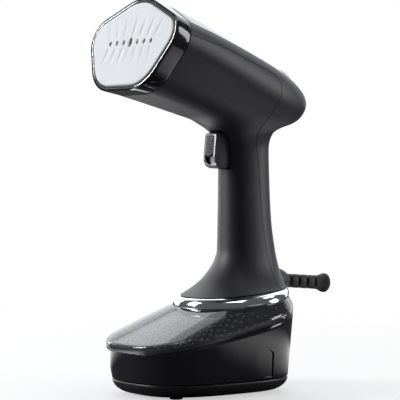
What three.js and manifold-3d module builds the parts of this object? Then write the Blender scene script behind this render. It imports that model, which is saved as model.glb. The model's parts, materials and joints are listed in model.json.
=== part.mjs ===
// Handheld garment steamer standing on its water tank.
// Millimetres, +Z up, front (steam plate) towards -Y, symmetric about X = 0.
import * as THREE from 'three';
import { mergeVertices } from 'three/addons/utils/BufferGeometryUtils.js';
import Module from 'manifold-3d';

const wasm = await Module();
wasm.setup();

// ---------------------------------------------------------------- driving dimensions
const SHIFT_Y = 14.78;             // moves the finished object over the middle of its box
const GAP = 0.3;                   // clearance between neighbouring pieces
const WALL = 2.4;                  // moulded shell thickness
const ARC = 4;                     // segments in one rounded corner of the head section
const OVAL = 28;                   // points round an oval section

// head frame: origin on the steam-hole row, s runs backwards along the barrel
const HEAD = { y: -99.5, z: 253.1, tilt: 19 };
const PLATE = { top: 33.8, cornerX: 55.4, cornerH: 10.8, footX: 29.8, footH: 32.6,
  rTop: 39.8, rCorner: 13.6, rFoot: 28, thick: 3.4 };
const HOLE_SPAN = 25.7;            // outermost steam hole from the middle
const HOLE_R = 1.25;
const MAIN_HOLE_R = 2.8;

// barrel stations: s, top, corner x, corner h, foot x, foot h, radii top/corner/foot
const BARREL = [
  [15, 39.0, 58.2, 11.8, 31.0, -34.4, 42, 17, 29],
  [45, 37.8, 55.2, 12.8, 29.0, -32.2, 40, 18, 27],
  [75, 35.6, 50.5, 13.3, 27.0, -30.4, 38, 20, 25],
  [100, 33.6, 46.0, 12.8, 25.5, -28.2, 36, 21, 23],
  [118, 32.0, 42.0, 11.5, 24.5, -24.4, 34, 20, 21],
  [132, 30.0, 37.5, 10.0, 22.5, -18.6, 30, 18.5, 16],
  [143, 27.2, 31.5, 8.5, 19.5, -12.6, 25, 15.5, 12.3],
  [151, 23.2, 24.5, 7.5, 14.5, -6.6, 19.5, 11, 8],
  [156.5, 18.0, 16.5, 7.0, 9, -0.8, 12, 7, 4.2],
  [159.3, 12.0, 7.5, 6.5, 4, 3.2, 5.0, 2.6, 1.6],
];
// handle stations: z, front y, rear y, half width, slope of the section plane
const HANDLE = [
  [72.9, -47.9, 32.1, 35.6, 0.085],
  [74.5, -43.5, 31.8, 33, 0.075],
  [78, -36.5, 31.0, 29.5, 0.06],
  [82.3, -30.2, 30.3, 26, 0.045],
  [86, -26.6, 29.5, 23.6, 0.03],
  [91, -22.7, 28.6, 21.2, 0.02],
  [96, -20, 27.6, 19.6, 0.01],
  [102.8, -18.2, 26.4, 18.3, 0],
  [125.8, -17.9, 23.1, 17, 0],
  [155, -17.8, 21.7, 16.1, 0],
  [172, -17.9, 21.2, 16.0, 0],
  [179, -18.4, 21.1, 16.4, 0],
  [184, -20, 21.8, 17.6, 0],
  [189, -24.0, 24.2, 19.6, 0],
  [193, -29, 28.6, 22.2, 0],
  [197, -35.0, 33.0, 25, 0],
  [202, -39, 35.0, 27, 0],
];
const HANDLE_POWER = 2.25;
// joint between the main shell and the spine cover, in y and z
const PARTING = [[-86, 257.6], [-50, 248.8], [-15.8, 238.2], [0.6, 232.8], [6.6, 229.3], [9.6, 223.4],
  [8.6, 215.9], [4.5, 204.5], [0.6, 193], [0.4, 184], [3.3, 169.6], [4.8, 148.3], [6.4, 126],
  [9.8, 99.3], [12, 76], [12.6, 66]];

// tank: superellipse outlines; front and rear half lengths about yc
const TANK = { yc: -34.4, b: 52.2, front: 71.4, rear: 63.2, power: 2.92 };
const SEAM = { z: 52.75, slope: 0.195, inset: 0.2 };
const SHOULDER = { z: 58.6, slope: 0.195 };
const TANK_FOOT = { z: 11.0, scale: 0.937 };
const RING_LOW = { yc: -10.3, b: 43.4, a: 41.3, z: 66.4, slope: 0.096 };
const RING_HIGH = { yc: -7.9, b: 35.6, a: 40.0, z: 72.6, slope: 0.085 };
const DOCK = { y: -12, portR: 8 };

const TRIGGER = { pivotY: -9, pivotZ: 185.5, half: 7, leanY: 0.0848, leanZ: 0.9964 };

// ---------------------------------------------------------------- numeric helpers
/** Linear interpolation of a station table at one value of its first column. */
function station(table, at) {
  let i = 0;
  while (i < table.length - 2 && table[i + 1][0] < at) i += 1;
  const [a, b] = [table[i], table[i + 1]];
  const t = Math.min(1, Math.max(0, (at - a[0]) / (b[0] - a[0])));
  return a.slice(1).map((v, k) => v + (b[k + 1] - v) * t);
}

/** Polygon with filleted corners; inset > 0 moves the whole line inwards. */
function roundedPolygon(corners, radii, inset = 0, seg = ARC) {
  const pts = [];
  const n = corners.length;
  for (let i = 0; i < n; i += 1) {
    const p = new THREE.Vector2(...corners[i]);
    const a = new THREE.Vector2(...corners[(i + n - 1) % n]).sub(p).normalize();
    const b = new THREE.Vector2(...corners[(i + 1) % n]).sub(p).normalize();
    const half = Math.acos(a.dot(b)) / 2;
    const r = radii[i];
    const centre = p.clone().add(a.clone().add(b).normalize().multiplyScalar(r / Math.sin(half)));
    const from = p.clone().add(a.clone().multiplyScalar(r / Math.tan(half))).sub(centre);
    const to = p.clone().add(b.clone().multiplyScalar(r / Math.tan(half))).sub(centre);
    const start = Math.atan2(from.y, from.x);
    let sweep = Math.atan2(to.y, to.x) - start;
    while (sweep > Math.PI) sweep -= 2 * Math.PI;
    while (sweep < -Math.PI) sweep += 2 * Math.PI;
    const rr = Math.max(0.4, r - inset);
    for (let k = 0; k <= seg; k += 1) {
      const q = start + (sweep * k) / seg;
      pts.push([centre.x + rr * Math.cos(q), centre.y + rr * Math.sin(q)]);
    }
  }
  return pts;
}

/** Outline of the head: the steam plate itself or a barrel station. */
function headOutline(top, cx, ch, fx, fh, radii, inset = 0, seg = ARC) {
  const corners = [[0, top], [cx, ch], [fx, fh], [-fx, fh], [-cx, ch]];
  return roundedPolygon(corners, [radii[0], radii[1], radii[2], radii[2], radii[1]], inset, seg);
}
const plateOutline = (grow = 0, seg = ARC) => headOutline(PLATE.top, PLATE.cornerX, PLATE.cornerH,
  PLATE.footX, -PLATE.footH, [PLATE.rTop, PLATE.rCorner, PLATE.rFoot], -grow, seg);
function barrelOutline(s, inset = 0) {
  const [top, cx, ch, fx, fh, r0, r1, r3] = station(BARREL, s);
  return headOutline(top, cx, ch, fx, fh, [r0, r1, r3], inset);
}

/** Point of an oval with different front and rear half lengths. */
function ovalPoint(q, b, front, rear, power) {
  const c = Math.cos(q);
  const s = Math.sin(q);
  const a = c < 0 ? front : rear;
  return [b * Math.sign(s) * Math.abs(s) ** (2 / power), a * Math.sign(c) * Math.abs(c) ** (2 / power)];
}
/** Ring of 3-D points: an oval in the plane z + slope * y. */
function ovalRing({ yc, b, front, rear, power, z, slope = 0 }, count = OVAL) {
  return Array.from({ length: count }, (_, i) => {
    const [x, y] = ovalPoint((2 * Math.PI * i) / count, b, front, rear, power);
    return [x, yc + y, z + slope * (yc + y)];
  });
}
function handleRing(z, inset = 0, drop = 0) {
  const [yf, yr, b, slope] = station(HANDLE, z);
  const a = (yr - yf) / 2 - inset;
  const yc = (yr + yf) / 2;
  return ovalRing({ yc, b: b - inset, front: a, rear: a, power: HANDLE_POWER, z: z - drop, slope });
}
/** Tank outline at scale k, pulled in by inset, in the plane z + slope * y. */
function tankRing(z, slope, inset = 0, k = 1, count = OVAL) {
  return ovalRing({ yc: TANK.yc, b: TANK.b * k - inset, front: TANK.front * k - inset,
    rear: TANK.rear * k - inset, power: TANK.power, z, slope }, count);
}
function neckRing(ring, inset, z = ring.z, slope = ring.slope, count = OVAL) {
  const r = ring.a - inset;
  return ovalRing({ yc: ring.yc, b: ring.b - inset, front: r, rear: r, power: 2.1, z, slope }, count);
}

// ---------------------------------------------------------------- solid helpers
/** Manifold solid from flat arrays, turned outwards when needed. */
function manifoldOf(positions, indices) {
  let volume = 0;
  for (let i = 0; i < indices.length; i += 3) {
    const [a, b, c] = [0, 1, 2].map((k) => new THREE.Vector3().fromArray(positions, 3 * indices[i + k]));
    volume += a.dot(b.cross(c));
  }
  const tri = volume < 0 ? indices.map((_, i) => indices[i - (i % 3) + 2 - (i % 3)]) : indices;
  return new wasm.Manifold(new wasm.Mesh({ numProp: 3, vertProperties: new Float32Array(positions),
    triVerts: new Uint32Array(tri) }));
}
/** Closed solid through rings of equal length, with a fan at each end. */
function loft(rings) {
  const n = rings[0].length;
  const positions = rings.flat(2);
  const indices = [];
  for (let r = 0; r < rings.length - 1; r += 1) {
    for (let i = 0; i < n; i += 1) {
      const a = r * n + i;
      const b = r * n + ((i + 1) % n);
      indices.push(a, b, b + n, a, b + n, a + n);
    }
  }
  for (const [ring, start, flip] of [[rings[0], 0, true], [rings.at(-1), (rings.length - 1) * n, false]]) {
    const mid = [0, 1, 2].map((k) => ring.reduce((sum, p) => sum + p[k], 0) / n);
    const m = positions.length / 3;
    positions.push(...mid);
    for (let i = 0; i < n; i += 1) {
      const [a, b] = [start + i, start + ((i + 1) % n)];
      indices.push(...(flip ? [m, b, a] : [m, a, b]));
    }
  }
  return manifoldOf(positions, indices);
}
/** Manifold solid from a three.js geometry. */
function solidOf(geometry) {
  const bare = geometry.clone();
  bare.deleteAttribute('normal');
  bare.deleteAttribute('uv');
  const merged = mergeVertices(bare, 1e-4);
  return manifoldOf(Array.from(merged.attributes.position.array), Array.from(merged.index.array));
}
const place = (solid, matrix) => solid.transform(matrix.elements);
const move = (solid, x, y, z) => solid.translate([x, y, z]);
const minus = (a, ...rest) => rest.reduce((s, b) => s.subtract(b), a);
const plus = (...all) => all.reduce((s, b) => s.add(b));

const box = (x, y, z) => solidOf(new THREE.BoxGeometry(x, y, z));
/** Cylinder along +Z standing on z = 0. */
function rod(r, h, r2 = r, seg = 14) {
  return solidOf(new THREE.CylinderGeometry(r2, r, h, seg).rotateX(Math.PI / 2).translate(0, 0, h / 2));
}
const pipe = (r, bore, h, seg = 16) => minus(rod(r, h, r, seg), move(rod(bore, h + 2, bore, seg), 0, 0, -1));
/** Extrusion of a closed [x, y] outline along +Z. */
function prism(outline, depth, holes = []) {
  const shape = new THREE.Shape(outline.map((p) => new THREE.Vector2(...p)));
  for (const hole of holes) shape.holes.push(new THREE.Path(hole.map((p) => new THREE.Vector2(...p))));
  return solidOf(new THREE.ExtrudeGeometry(shape, { depth, bevelEnabled: false, steps: 1 }));
}
/** Flat ring between two outlines, extruded along +Z. */
const band = (outside, inside, depth) => minus(prism(outside, depth),
  move(prism(inside, depth + 2), 0, 0, -1));
const circle = (x, y, r, n = 12) => Array.from({ length: n }, (_, i) => {
  const q = (2 * Math.PI * i) / n;
  return [x + r * Math.cos(q), y + r * Math.sin(q)];
});
/** Revolved solid about +Z from an [r, z] profile. */
function lathe(profile, seg = 16) {
  const pts = profile.map((p) => new THREE.Vector2(...p));
  return solidOf(new THREE.LatheGeometry(pts, seg).rotateX(Math.PI / 2));
}
/** Round-section sweep through points. */
function sweep(points, r, steps, sides = 8) {
  const curve = new THREE.CatmullRomCurve3(points.map((p) => new THREE.Vector3(...p)), false, 'centripetal');
  const frames = curve.computeFrenetFrames(steps, false);
  const rings = [];
  for (let i = 0; i <= steps; i += 1) {
    const p = curve.getPointAt(i / steps);
    rings.push(Array.from({ length: sides }, (_, k) => {
      const q = (2 * Math.PI * k) / sides;
      const v = p.clone().addScaledVector(frames.normals[i], r * Math.cos(q));
      return v.addScaledVector(frames.binormals[i], r * Math.sin(q)).toArray();
    }));
  }
  return loft(rings);
}
/** Compression spring along +Z from z = 0. */
function spring(radius, wire, length, turns) {
  const perTurn = 6;
  const pts = Array.from({ length: turns * perTurn + 1 }, (_, i) => {
    const q = (2 * Math.PI * i) / perTurn;
    return [radius * Math.cos(q), radius * Math.sin(q), wire + ((length - 2 * wire) * i) / (turns * perTurn)];
  });
  return sweep(pts, wire, turns * perTurn, 4);
}

// ---------------------------------------------------------------- frames
const rad = THREE.MathUtils.degToRad;
const UP = new THREE.Vector3(0, Math.sin(rad(HEAD.tilt)), Math.cos(rad(HEAD.tilt)));
const OUT = new THREE.Vector3(0, -Math.cos(rad(HEAD.tilt)), Math.sin(rad(HEAD.tilt)));
const HEAD_FRAME = new THREE.Matrix4()
  .makeBasis(new THREE.Vector3(1, 0, 0), UP, OUT)
  .setPosition(0, HEAD.y, HEAD.z);
/** Solid built with x, h and depth -s, put on the head. */
const onHead = (solid) => place(solid, HEAD_FRAME);
/** Same, for a solid built from z = 0 upwards that should run from s0 backwards by its length. */
const fromS = (solid, s, length) => onHead(move(solid, 0, 0, -s - length));
const headPoint = (x, h, s) => new THREE.Vector3(x, h, -s).applyMatrix4(HEAD_FRAME).toArray();
/** Z axis of a solid turned to +Y, origin at the given point. */
const alongY = (solid, x, y, z) => move(solid.rotate([-90, 0, 0]), x, y, z);
const alongX = (solid, x, y, z) => move(solid.rotate([0, 90, 0]), x, y, z);

const group = new THREE.Group();
group.name = 'garment_steamer';
/** Adds one finished piece to the object. */
function add(name, solid, colour, roughness, metalness = 0) {
  const mesh = solid.getMesh();
  const geometry = new THREE.BufferGeometry();
  const count = mesh.vertProperties.length / mesh.numProp;
  const positions = new Float32Array(3 * count);
  for (let i = 0; i < count; i += 1) {
    for (let k = 0; k < 3; k += 1) positions[3 * i + k] = mesh.vertProperties[i * mesh.numProp + k];
    positions[3 * i + 1] += SHIFT_Y;
  }
  geometry.setAttribute('position', new THREE.BufferAttribute(positions, 3));
  geometry.setIndex(Array.from(mesh.triVerts));
  geometry.computeVertexNormals();
  const material = new THREE.MeshStandardMaterial({ color: colour, roughness, metalness });
  const piece = new THREE.Mesh(geometry, material);
  piece.name = name;
  group.add(piece);
}

const CHARCOAL = 0x343438;
const GLOSS = 0x121216;
const DARK = 0x1c1c1f;
const STEEL = 0xb4b6ba;
const CREAM = 0xd9d6cc;
const RUBBER = 0x151516;

// ---------------------------------------------------------------- handset shells
/** Head barrel as a solid, ending at the collar; inset gives the inner face. */
function barrelSolid(inset, from, to) {
  const stops = [from, 45, 75, 100, 118, 132, 143, 151, 156.5]
    .filter((s) => s === from || (s > from + 2 && s < to - 1));
  stops.push(to);
  return loft(stops.map((s) => barrelOutline(s, inset).map(([x, h]) => headPoint(x, h, s))));
}
function handleSolid(inset, from, to, drop = 0) {
  const stops = [from, ...HANDLE.map((row) => row[0])].sort((a, b) => a - b)
    .filter((z, i, all) => z >= from && z <= to && z !== all[i - 1]);
  const rings = stops.map((z, i) => handleRing(z, inset, i === 0 ? drop : 0));
  return loft([...rings, handleRing(208, inset).map(([x, y]) => [x, y, 208])]);
}
const outer = plus(barrelSolid(0, 15.3, 159.3), handleSolid(0, 72.9, 202));
const inner = plus(barrelSolid(WALL, 13, 153), handleSolid(WALL, 72.9, 202, 4));
const shell = minus(outer, inner);

/** Everything behind and above the parting line, optionally moved off it. */
function spineRegion(shift) {
  const line = PARTING.map(([y, z]) => [y + shift * 1.0, z + shift * 0.85]);
  const outline = [...line, [90, 60], [90, 320], [-86, 320]];
  const blank = prism(outline, 160);
  // built in x = y, y = z, extruded along z; turned so the extrusion runs along X
  const turn = new THREE.Matrix4().set(0, 0, 1, -80, 1, 0, 0, 0, 0, 1, 0, 0, 0, 0, 0, 1);
  return place(blank, turn);
}
const SLEEVE = { y: 39.4, z: 78.3, droop: 5 };
const alongCord = (solid) => move(solid.rotate([-90 - SLEEVE.droop, 0, 0]), 0, SLEEVE.y, SLEEVE.z);
const STRAIN_HOLE = alongCord(plus(move(rod(3.5, 20), 0, 0, -16), move(rod(5.6, 10), 0, 0, -6.5)));
const ringClear = loft([neckRing(RING_LOW, -0.6, 62), neckRing(RING_LOW, -0.5, 68.2),
  neckRing(RING_HIGH, -0.4, RING_HIGH.z + GAP)]);
const cordBoss = minus(alongCord(move(rod(9.6, 12.4, 6.6, 18), 0, 0, -12)), ringClear);
/** Band of the roof covered by the gloss panel: outline seen from above, as x half widths by s. */
function panelCutter(grow, low, high) {
  const half = [[17.5, 41.5], [50, 38.5], [80, 33.5], [105, 27.5], [125, 21.5], [138, 16.5], [146, 11],
    [150, 5]];
  const right = half.map(([s, w]) => [w + grow, -s]);
  right[0][1] += grow;
  right[right.length - 1][1] -= grow;
  const left = right.map(([x, y]) => [-x, y]).reverse();
  const blank = prism([...right, ...left].reverse(), high - low);
  // outline lies in x and -s; the extrusion runs along h
  const turn = new THREE.Matrix4().set(1, 0, 0, 0, 0, 0, 1, low, 0, 1, 0, 0, 0, 0, 0, 1);
  return onHead(place(blank, turn));
}
const roofSkin = minus(barrelSolid(0, 15.3, 159.3), barrelSolid(1.0, 13, 158.6));
const roofSeat = minus(barrelSolid(-2, 15.3, 159.3), barrelSolid(1.3, 13, 158.3));
const BUTTON = { s: 135, r: 5.6 };
const LENS = { inner: 5.9, outer: 8.4 };
const buttonHole = (r) => onHead(move(rod(r, 60, r, 20).rotate([-90, 0, 0]), 0, 0, -BUTTON.s));

const TRIGGER_SLOT = move(box(15.2, 24, 27.8), 0, -22, 176.4);
const mainShell = minus(shell, spineRegion(0), TRIGGER_SLOT);
add('main_shell', mainShell, CHARCOAL, 0.5);
const bossOutside = minus(cordBoss, inner);
const spineCover = minus(plus(shell.intersect(spineRegion(0.3)), bossOutside), STRAIN_HOLE,
  roofSeat.intersect(panelCutter(GAP, 2, 60)), buttonHole(LENS.outer + GAP));
add('spine_cover', spineCover, CHARCOAL, 0.5);
add('top_panel', minus(roofSkin.intersect(panelCutter(0, 2, 60)), buttonHole(LENS.outer + GAP)), GLOSS, 0.08);
const lensRing = minus(barrelSolid(-0.1, 15.3, 159).intersect(buttonHole(LENS.outer)), buttonHole(LENS.inner));
add('indicator_lens', minus(lensRing, barrelSolid(3.2, 13, 152)), 0xd07a1e, 0.15);

// ---------------------------------------------------------------- steam head
const holes = Array.from({ length: 7 }, (_, i) => {
  const main = i === 3;
  return circle((HOLE_SPAN * (i - 3)) / 3, 0, main ? MAIN_HOLE_R : HOLE_R, main ? 14 : 8);
});
add('steam_plate', fromS(prism(plateOutline(0, 6), PLATE.thick, holes), 0, PLATE.thick), 0xdfe5ea, 0.25);
add('plate_gasket', fromS(band(plateOutline(1.25), plateOutline(0.3), 5.2), 0.25, 5.2), RUBBER, 0.8);
add('plate_trim_ring', fromS(band(plateOutline(2.4), plateOutline(1.55), 4.6), 0.1, 4.6), STEEL, 0.2, 1);

const ringOfHead = (outline, s) => outline.map(([x, h]) => headPoint(x, h, s));
const collarOut = loft([ringOfHead(plateOutline(3.0), 0.5), ringOfHead(plateOutline(3.6), 1.3),
  ringOfHead(barrelOutline(15), 15)]);
const collarIn = loft([ringOfHead(plateOutline(2.7), 0.2), ringOfHead(plateOutline(2.7), 5.4),
  ringOfHead(barrelOutline(15, WALL), 15.4)]);
add('head_collar', minus(collarOut, collarIn), GLOSS, 0.08);

const CHAMBER = [[0, 21], [33, 9], [22, -19], [-22, -19], [-33, 9]];
const chamberOutline = (grow) => roundedPolygon(CHAMBER, [20, 8, 10, 10, 8], -grow, 4);
const chamber = minus(plus(fromS(prism(chamberOutline(0), 20), 4.0, 20),
  onHead(move(pipe(4, 1.6, 6.2, 14), 0, -3, -30.0))),
  fromS(prism(chamberOutline(-4), 5), 3.9, 5), onHead(move(rod(1.6, 24, 1.6, 14), 0, -3, -31)));
add('steam_chamber', chamber, 0x9ea1a6, 0.45, 0.9);
const heatPath = [[-22, -4, -44], [-22, -4, -32], [-20, -9, -28.2], [-10, -13, -27.6], [0, -13.5, -27.6],
  [10, -13, -27.6], [20, -9, -28.2], [22, -4, -32], [22, -4, -44]];
add('heating_element', onHead(sweep(heatPath, 2.9, 22, 8)), 0x8b8880, 0.4, 0.9);
add('thermostat', onHead(move(plus(rod(6.2, 5), move(rod(4.6, 3), 0, 0, -2.9)), 0, 8.5, -29.4)), CREAM, 0.5);
const fuseBody = lathe([[0, 0], [1.1, 0], [1.1, 4], [2.1, 4.4], [2.1, 13.6], [1.1, 14], [1.1, 18], [0, 18]], 12);
add('thermal_fuse', onHead(alongX(fuseBody, 8.5, 8.5, -26.8)), STEEL, 0.3, 0.8);
add('heat_shield', fromS(band(plateOutline(-8), plateOutline(-9), 24), 18, 24), 0xc3c5c8, 0.3, 0.9);

// ---------------------------------------------------------------- pump
const pumpPart = (solid, s, length) => fromS(solid, s, length);
add('pump_barrel', pumpPart(minus(lathe([[0, 0], [3, 0], [3, 7], [5, 7], [5, 45], [3, 45], [3, 52], [0, 52]], 18),
  move(rod(3.7, 36, 3.7, 18), 0, 0, 8), move(rod(1.5, 60, 1.5, 12), 0, 0, -2)), 60, 52), CREAM, 0.5);
add('pump_coil', pumpPart(pipe(15, 5.4, 28, 26), 71, 28), 0x7a2f24, 0.5);
const frameBox = minus(box(32, 34, 34), box(33, 31, 31), rod(5.4, 60, 5.4, 18), move(rod(5.4, 60, 5.4, 18), 0, 0, -60));
add('pump_frame', onHead(move(frameBox, 0, 0, -85)), 0x9a9da2, 0.4, 0.9);
add('pump_plunger', pumpPart(rod(3.4, 16, 3.4, 16), 80, 16), STEEL, 0.3, 1);
add('pump_spring', onHead(move(spring(2.5, 0.45, 9.4, 5), 0, 0, -79.7)), STEEL, 0.3, 1);
add('pump_mount_front', pumpPart(pipe(11, 5.3, 4, 22), 63.2, 4), RUBBER, 0.85);
add('pump_mount_rear', pumpPart(pipe(11, 5.3, 2.2, 22), 102.4, 2.2), RUBBER, 0.85);
add('delivery_tube', sweep([headPoint(0, 0, 59.7), headPoint(0, 0, 54), headPoint(0, -1.5, 44),
  headPoint(0, -3, 36), headPoint(0, -3, 30.4)], 2.1, 10, 6), 0xe6e2d6, 0.4);
add('suction_tube', sweep([headPoint(0, 0, 112.3), headPoint(0, 0, 117), headPoint(0, -3.5, 122),
  [0, 16.6, 203], [0, 13.5, 192], [0, 10, 180], [0, 9.2, 160], [0, 9.2, 120], [0, 7, 100], [0, -2, 88],
  [0, -10, 80], [0, DOCK.y, 71.6]], 2.1, 32, 6), 0xe6e2d6, 0.4);

// ---------------------------------------------------------------- controls
const capTop = barrelSolid(-0.6, 15.3, 159.3).intersect(buttonHole(BUTTON.r));
const stem = onHead(move(rod(1.5, 4.8).rotate([-90, 0, 0]), 0, 20.7, -BUTTON.s));
add('power_button', plus(minus(capTop, barrelSolid(3.2, 13, 152)), stem), 0x2a2a2e, 0.35);
add('control_board', onHead(move(box(22, 1.6, 28), 0, 14.6, -124)), 0x1f5a35, 0.6);
add('status_led', onHead(move(box(5, 3.4, 4), 0, 17.2, 7.2 - BUTTON.s)), 0xf3e7c4, 0.3);
add('button_switch', onHead(move(box(6, 4.2, 6), 0, 17.6, -BUTTON.s)), 0x202022, 0.5);

// ---------------------------------------------------------------- trigger
const extrudeX = (outline, width) => place(prism(outline, width),
  new THREE.Matrix4().set(0, 0, 1, -width / 2, 1, 0, 0, 0, 0, 1, 0, 0, 0, 0, 0, 1));
const triggerSide = [[-28.4, 189.0], [-29.2, 182], [-30.1, 172], [-29.9, 168.2], [-28.2, 165], [-25, 163.3],
  [-21, 163.0], [-16, 164.4], [-13.2, 166.6], [-12.2, 170], [-12.2, 179.5], [-10, 181], [-6.4, 182],
  [-5.2, 185.5], [-6.4, 188.6], [-9, 189.3], [-20, 189.6]];
const FACE = new THREE.Matrix4().makeBasis(new THREE.Vector3(1, 0, 0),
  new THREE.Vector3(0, TRIGGER.leanY, TRIGGER.leanZ),
  new THREE.Vector3(0, -TRIGGER.leanZ, TRIGGER.leanY)).setPosition(0, -29.2, 178.6);
/** Rounded slot outline in the trigger face. */
const slotOutline = (halfX, up, down) => roundedPolygon([[halfX, up], [halfX, down], [-halfX, down],
  [-halfX, up]], [2.2, 4.6, 4.6, 2.2].map((r) => Math.min(r, halfX - 0.1)), 0, 4);
const onFace = (solid) => place(solid, FACE);
const recess = onFace(move(prism(slotOutline(4.9, 8.6, -12.4), 8), 0, 0, -3.2));
const triggerPin = alongX(rod(1.5, 17.2, 1.5, 14), -8.6, TRIGGER.pivotY, TRIGGER.pivotZ);
const triggerBody = minus(extrudeX(triggerSide, 2 * TRIGGER.half), recess,
  alongX(rod(1.56, 60, 1.56, 14), -30, TRIGGER.pivotY, TRIGGER.pivotZ));
add('trigger', triggerBody, 0x3a3a3e, 0.45);
add('trigger_pin', triggerPin, STEEL, 0.3, 1);
const ribs = Array.from({ length: 6 }, (_, i) => move(box(6.6, 0.9, 1.2), 0, 6.6 - 2.2 * i, 0.9));
const lock = plus(move(prism(slotOutline(4.4, 8.1, -7.0), 3.4), 0, 0, -2.8), ...ribs.map((r) => r));
add('trigger_lock', onFace(lock), 0x55565b, 0.5);
add('trigger_spring', alongY(spring(2.4, 0.4, 7.0, 5), 0, -11.9, 167.8), STEEL, 0.3, 1);
const ears = [-1, 1].map((side) => move(box(1.5, 8.6, 6.4), side * 8.15, -7.6, TRIGGER.pivotZ));
const bracket = plus(move(box(17.8, 1.6, 26), 0, -3.7, 176), ...ears);
add('switch_bracket', minus(bracket, alongX(rod(1.53, 60, 1.53, 14), -30, TRIGGER.pivotY, TRIGGER.pivotZ)),
  0x2b2b2e, 0.6);
const switchBody = minus(move(box(6.4, 4.6, 9), 0, -7.1, 175.9), move(box(2.4, 3, 2.4), 0, -9, 176));
add('microswitch', switchBody, 0x202022, 0.5);
add('switch_plunger', move(box(1.8, 3.4, 1.8), 0, -10.3, 176), 0xd8d2c0, 0.5);

// ---------------------------------------------------------------- neck
const ringCore = loft([neckRing(RING_LOW, 2.2, RING_LOW.z - 3), neckRing(RING_LOW, 2.2, RING_LOW.z + 1),
  neckRing(RING_HIGH, 2.4, RING_HIGH.z + 3)]);
add('chrome_ring', minus(loft([neckRing(RING_LOW, 0, RING_LOW.z), neckRing(RING_LOW, -0.1, RING_LOW.z + 1.5),
  neckRing(RING_HIGH, 0, RING_HIGH.z)]), ringCore), 0xe8e8ea, 0.05, 1);
const baseDish = minus(loft([neckRing(RING_LOW, 5.2, 60.2, 0.09), neckRing(RING_LOW, 3.4, 66.6, 0.09),
  neckRing(RING_HIGH, 3.6, 69.8, 0.085)]), loft([neckRing(RING_LOW, 7.4, 62.4, 0.09),
  neckRing(RING_LOW, 5.6, 66.6, 0.09), neckRing(RING_HIGH, 5.6, 74, 0.085)]));
const spigot = move(rod(5.4, 20.6), 0, DOCK.y, 50.6);
const spigotBore = move(rod(2.6, 40), 0, DOCK.y, 48);
const orGroove = move(pipe(6, 4.5, 2.2), 0, DOCK.y, 51.5);
const CLAMP = { y: 21.6, z: 73.2, x: 9.0 };
const clampPosts = [-1, 1].map((side) => move(rod(3.2, 9.5, 3.2, 14), side * CLAMP.x, CLAMP.y, 63.4));
const clampBores = [-1, 1].map((side) => move(rod(1.25, 9, 1.25, 10), side * CLAMP.x, CLAMP.y, 66));
const hookSlot = (x, y0, y1, z0, z1) => move(box(2 * x, y1 - y0, z1 - z0), 0, (y0 + y1) / 2, (z0 + z1) / 2);
add('handset_base', minus(plus(baseDish, spigot, ...clampPosts), spigotBore, orGroove, ...clampBores,
  hookSlot(4.4, 17.0, 23.6, 55, 66)), 0x29292c, 0.55);
const oring = Array.from({ length: 8 }, (_, i) => [4.62 + 0.95 + 0.9 * Math.cos((Math.PI * i) / 4),
  0.9 * Math.sin((Math.PI * i) / 4)]);
add('dock_oring', move(lathe([...oring, oring[0]], 20), 0, DOCK.y, 52.6), 0x7a2b22, 0.7);
const clampBar = minus(move(box(24.6, 6, 4.2), 0, CLAMP.y, CLAMP.z + 2.1),
  ...[-1, 1].map((side) => move(rod(1.6, 30, 1.6, 12), side * CLAMP.x, CLAMP.y, 60)),
  alongY(rod(3.4, 20), 0, CLAMP.y - 10, CLAMP.z + 5.8));
add('cord_clamp', clampBar, 0x2b2b2e, 0.6);
/** Pan-head screw, head down at z = 0, thread upwards. */
const screw = (length, head = 2.9, shank = 1.4) => minus(lathe([[0, 0], [head, 0], [head, 1.3], [shank, 2.0],
  [shank, length], [0, length]], 12), move(box(3.4, 0.7, 1.2), 0, 0, 0.4));
[-1, 1].forEach((side, i) => add(`clamp_screw_${i + 1}`,
  move(screw(9, 2.7, 1.15).rotate([180, 0, 0]), side * CLAMP.x, CLAMP.y, CLAMP.z + 6.3), STEEL, 0.3, 1));

// cord exit
const ribRows = [];
for (let row = 0; row < 7; row += 1) {
  for (let k = 0; k < 2; k += 1) {
    const slot = box(3.2, 7.4, 2.4);
    const turned = move(slot, 5.2 * (k ? -1 : 1), 0, 4.2 + 4 * row).rotate([0, 0, row % 2 ? 90 : 0]);
    ribRows.push(turned);
  }
}
const sleeve = lathe([[0, -10.4], [3.1, -10.4], [3.1, -6.1], [5.2, -6.1], [5.2, 30], [5.8, 35], [7.3, 38.4],
  [7.3, 40.6], [6.4, 41.4], [0, 41.4]], 16);
const sleeveSolid = minus(sleeve, move(rod(2.3, 80, 2.3, 12), 0, 0, -20), move(rod(3.4, 60, 3.4, 12), 0, 0, -4),
  ...ribRows);
add('strain_relief', alongCord(sleeveSolid), DARK, 0.6);

// ---------------------------------------------------------------- tank
const footRing = (z, inset = 0) => tankRing(z, 0, inset, TANK_FOOT.scale);
const tankOuter = (inset, low, high) => loft([footRing(low, inset), tankRing(high, SEAM.slope, SEAM.inset + inset)]);
const body = minus(tankOuter(0, TANK_FOOT.z + GAP, SEAM.z - GAP), tankOuter(WALL, 13.8, SEAM.z + 3));
const skin = minus(tankOuter(-1, TANK_FOOT.z, SEAM.z), tankOuter(0.9, TANK_FOOT.z - 2, SEAM.z + 3));
const GRIP = { y: -15.6, half: 8.3, top: 33.6 };
const archSide = [...Array.from({ length: 9 }, (_, i) => {
  const q = (Math.PI * i) / 8;
  return [GRIP.y + GRIP.half * Math.cos(q), GRIP.top - 5 + 5 * Math.sin(q)];
}), [GRIP.y - GRIP.half, 13.2], [GRIP.y + GRIP.half, 13.2]];
const grips = skin.intersect(extrudeX(archSide, 140));
const PLUG = { y: -6, z: 36, x: -48.9 };
const plugBoss = alongX(rod(12.4, 6.0, 12.4, 22), PLUG.x + 0.2, PLUG.y, PLUG.z);
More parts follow.
